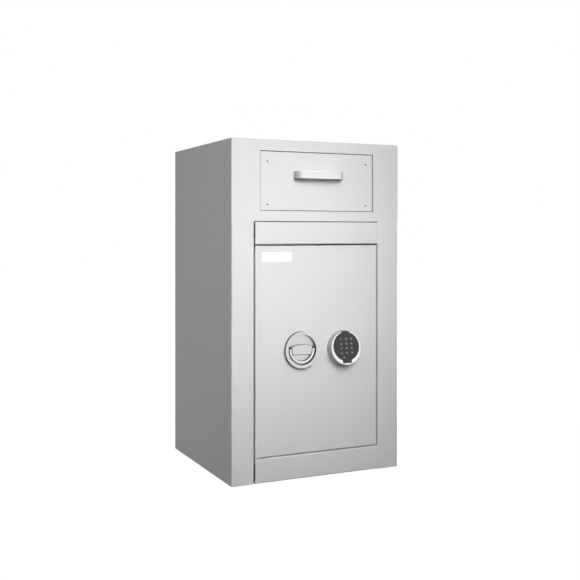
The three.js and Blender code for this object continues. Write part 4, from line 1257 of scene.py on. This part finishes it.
# %% [markdown]
# Plain figures are printed on the keys. A pattern could draw them, but a figure of real faces stays
# sharp from near by and rides on its key. A text object becomes a mesh first, and only then is it
# stood up and moved onto its key.

# %% Figures on the keys
FIGURE_SIZE = 5.2 * MM
FIGURE_DEPTH = 0.06 * MM
SAME_STROKE = 0.0001 * MM
MARKS = {"key_clear": "x", "key_enter": ">"}


def figure(text, centre):
    """A flat printed figure that faces the front."""
    words = bpy.data.curves.new("figure", "FONT")
    words.body = text
    words.size = FIGURE_SIZE
    words.align_x = "CENTER"
    words.align_y = "CENTER"
    words.extrude = FIGURE_DEPTH / 2
    writer = bpy.data.objects.new("figure", words)
    bpy.context.collection.objects.link(writer)
    bpy.context.view_layer.update()
    shape = bmesh.new()
    mesh = bpy.data.meshes.new_from_object(writer.evaluated_get(bpy.context.evaluated_depsgraph_get()))
    shape.from_mesh(mesh)
    bpy.data.meshes.remove(mesh)
    bpy.data.objects.remove(writer)
    bpy.data.curves.remove(words)
    bmesh.ops.remove_doubles(shape, verts=shape.verts, dist=SAME_STROKE)
    shape.transform(Matrix.Translation(centre) @ Matrix.Rotation(math.radians(90), 4, "X"))
    return shape


for node in KEY_NODES:
    place = upright(middle(node))
    place.y -= (KEY_LENGTH + FIGURE_DEPTH) / 2
    text = MARKS.get(node, node[-1])
    piece(node + "_figure", leaned(figure(text, place)), BODY_OF[node], "blank_plate")

# %% [markdown]
# A small pale lamp sits under the keys, to the left of the middle. It is a low dome, and a turned
# profile with one rounded corner makes it.

# %% Status lamp
LAMP_RADIUS = 1.2 * MM
LAMP_REACH = 0.7 * MM
LAMP_ROUNDING = 0.6 * MM
LAMP_LEFT = 8 * MM
LAMP_BELOW = 22 * MM

lamp_place = Vector((keypad_centre.x - LAMP_LEFT, insert_front, keypad_centre.z - LAMP_BELOW))
lamp = turned([(0, LAMP_REACH, 0), (LAMP_RADIUS, LAMP_REACH, LAMP_ROUNDING), (LAMP_RADIUS, 0, 0), (0, 0, 0)],
              lamp_place, FORWARD, SCREW_STEPS)
piece("keypad_lamp", leaned(lamp), "door", "blank_plate")

# %% [markdown]
# ## World
# The photograph's background is white. A bright world would show white too, but it would also wash
# out the paint. So the world is white only to the rays that show it, straight to the camera, in a
# reflection or through glass. To the light that reaches the paint it is nearly black.

# %% World
WHITE = (1, 1, 1, 1)
AMBIENT = 0.04
SHOWING_RAYS = ("Is Camera Ray", "Is Glossy Ray", "Is Transmission Ray")


def watched(finish):
    """1 for a ray that shows the surroundings, and 0 for one that lights a surface."""
    seen, mirrored, seen_through = (
        finish.node("ShaderNodeLightPath", {}, {}, ray) for ray in SHOWING_RAYS
    )
    return seen + mirrored + seen_through


studio = Finish(bpy.data.worlds.new("studio"))
strength = studio.node("ShaderNodeMapRange", {}, {"Value": watched(studio), "To Min": AMBIENT, "To Max": 1})
background = studio.node("ShaderNodeBackground", {}, {"Color": WHITE, "Strength": strength})
studio.node("ShaderNodeOutputWorld", {}, {"Surface": background})
bpy.context.scene.world = studio.owner
print("the world lights the paint with", AMBIENT)

# %% [markdown]
# ## Floor
# The floor has to be as white as the world and still keep the shadow under the cabinet. A white
# floor under lamps is never evenly white, and it throws light up at the safe. This one is a dark
# surface that takes the shadow, with a glow added for the rays that show it. The lamps brighten the
# ground near the safe, so the glow is a little weaker there, and no edge shows at the horizon.

# %% Floor
FLOOR_HALF = 12
FLOOR_GLOW = 0.975
LIT_RADIUS = 1.4
UNLIT_RADIUS = 3.2
FLOOR_TONE = 0.06

floor_finish = Finish(bpy.data.materials.new("floor_finish"))
away = floor_finish.node("ShaderNodeVectorMath", {"operation": "LENGTH"},
                         {0: place_in(floor_finish)}, "Value")
fading = floor_finish.node("ShaderNodeMapRange", {}, {
    "Value": away, "From Min": LIT_RADIUS, "From Max": UNLIT_RADIUS, "To Min": FLOOR_GLOW, "To Max": 1,
})
glow_sockets = {"Color": WHITE, "Strength": watched(floor_finish) * fading}
glow = floor_finish.node("ShaderNodeEmission", {}, glow_sockets)
ground = floor_finish.node("ShaderNodeBsdfDiffuse", {}, {"Color": grey(FLOOR_TONE)})
both = floor_finish.node("ShaderNodeAddShader", {}, {0: glow, 1: ground})
floor_finish.node("ShaderNodeOutputMaterial", {}, {"Surface": both})

floor_shape = bmesh.new()
bmesh.ops.create_grid(floor_shape, x_segments=1, y_segments=1, size=FLOOR_HALF)
floor_mesh = bpy.data.meshes.new("studio_floor")
floor_shape.to_mesh(floor_mesh)
floor_shape.free()
floor_mesh.materials.append(floor_finish.owner)
floor = bpy.data.objects.new("studio_floor", floor_mesh)
bpy.context.collection.objects.link(floor)
floor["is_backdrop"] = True
print("floor of", 2 * FLOOR_HALF, "m, with", len(floor_mesh.polygons), "face")

# %% [markdown]
# ## Lamps
# The upper part of the door is the brightest place in the photograph, and the light fades softly
# round it. One large lamp would light the whole front alike, and one small lamp would throw hard
# shadows. So the key light is a bank of nine small lamps, high in front, whose narrow beams overlap
# on the door. The lamps don't show to the camera or in reflections.

# %% Key light
KEY_TARGET = (-0.131, -0.2, 0.53)
KEY_SPREAD = 23
KEY_POWER = 2.15
KEY_SIZE = 0.6
KEY_DISTANCE = 2.8
KEY_ROWS = (1.6, 2.4, 3.2)
KEY_COLUMNS = (-0.95, -0.15, 0.65)


def soft_panel(name, place, target, size, power, spread=180):
    """A square lamp. A spread below 180 degrees is a grid before it that narrows its beam."""
    lamp_data = bpy.data.lights.new(name, "AREA")
    lamp_data.shape = "SQUARE"
    lamp_data.size = size
    lamp_data.energy = power
    lamp_data.spread = math.radians(spread)
    made = bpy.data.objects.new(name, lamp_data)
    bpy.context.collection.objects.link(made)
    made.location = place
    made.rotation_euler = (Vector(target) - Vector(place)).to_track_quat("-Z", "Y").to_euler()
    made.visible_camera = False
    made.visible_glossy = False
    print(name, round(power, 3), "W at", place)


for row, height in enumerate(KEY_ROWS):
    for column, side in enumerate(KEY_COLUMNS):
        soft_panel(f"key_panel_{row}_{column}", (side, -KEY_DISTANCE, height), KEY_TARGET, KEY_SIZE,
                   KEY_POWER / len(KEY_ROWS) / len(KEY_COLUMNS), KEY_SPREAD)

# %% [markdown]
# The key light alone would leave the rest black. A brighter world would fill it, but flatly, with no
# difference between one side and the next. So a large soft panel in front fills the face of the
# safe, and one panel each to the left, behind, to the right and above lights the side it faces.

# %% Fill panels
FILL_PANELS = {
    "front_panel": {"place": (0, -4.3, 2.1), "target": (0, 0, 0.4), "size": 2.5, "power": 62.2},
    "left_panel": {"place": (-2.4, -0.95, 2), "target": (-0.2, -0.1, 0.55), "size": 2, "power": 16.7},
    "rear_panel": {"place": (0.6, 2.4, 1.6), "target": (0, 0.2, 0.4), "size": 1.6, "power": 52},
    "right_panel": {"place": (2.4, 0.4, 1.4), "target": (0.2, 0, 0.4), "size": 1.6, "power": 30},
    "top_panel": {"place": (0.3, 0.1, 3), "target": (0.1, 0, 0.8), "size": 1.6, "power": 16},
}
for name, panel in FILL_PANELS.items():
    soft_panel(name, **panel)

# %% [markdown]
# ## Picture and sizes
# The Standard view shows a colour as it is written, without the softer curve of a film look. The
# dressed safe must be as large as its solids, so its box is printed here, after the solids' box at the start.

# %% Picture settings, sizes and the end
bpy.context.scene.view_settings.view_transform = "Standard"
print("the dressed safe fills", plain_box())
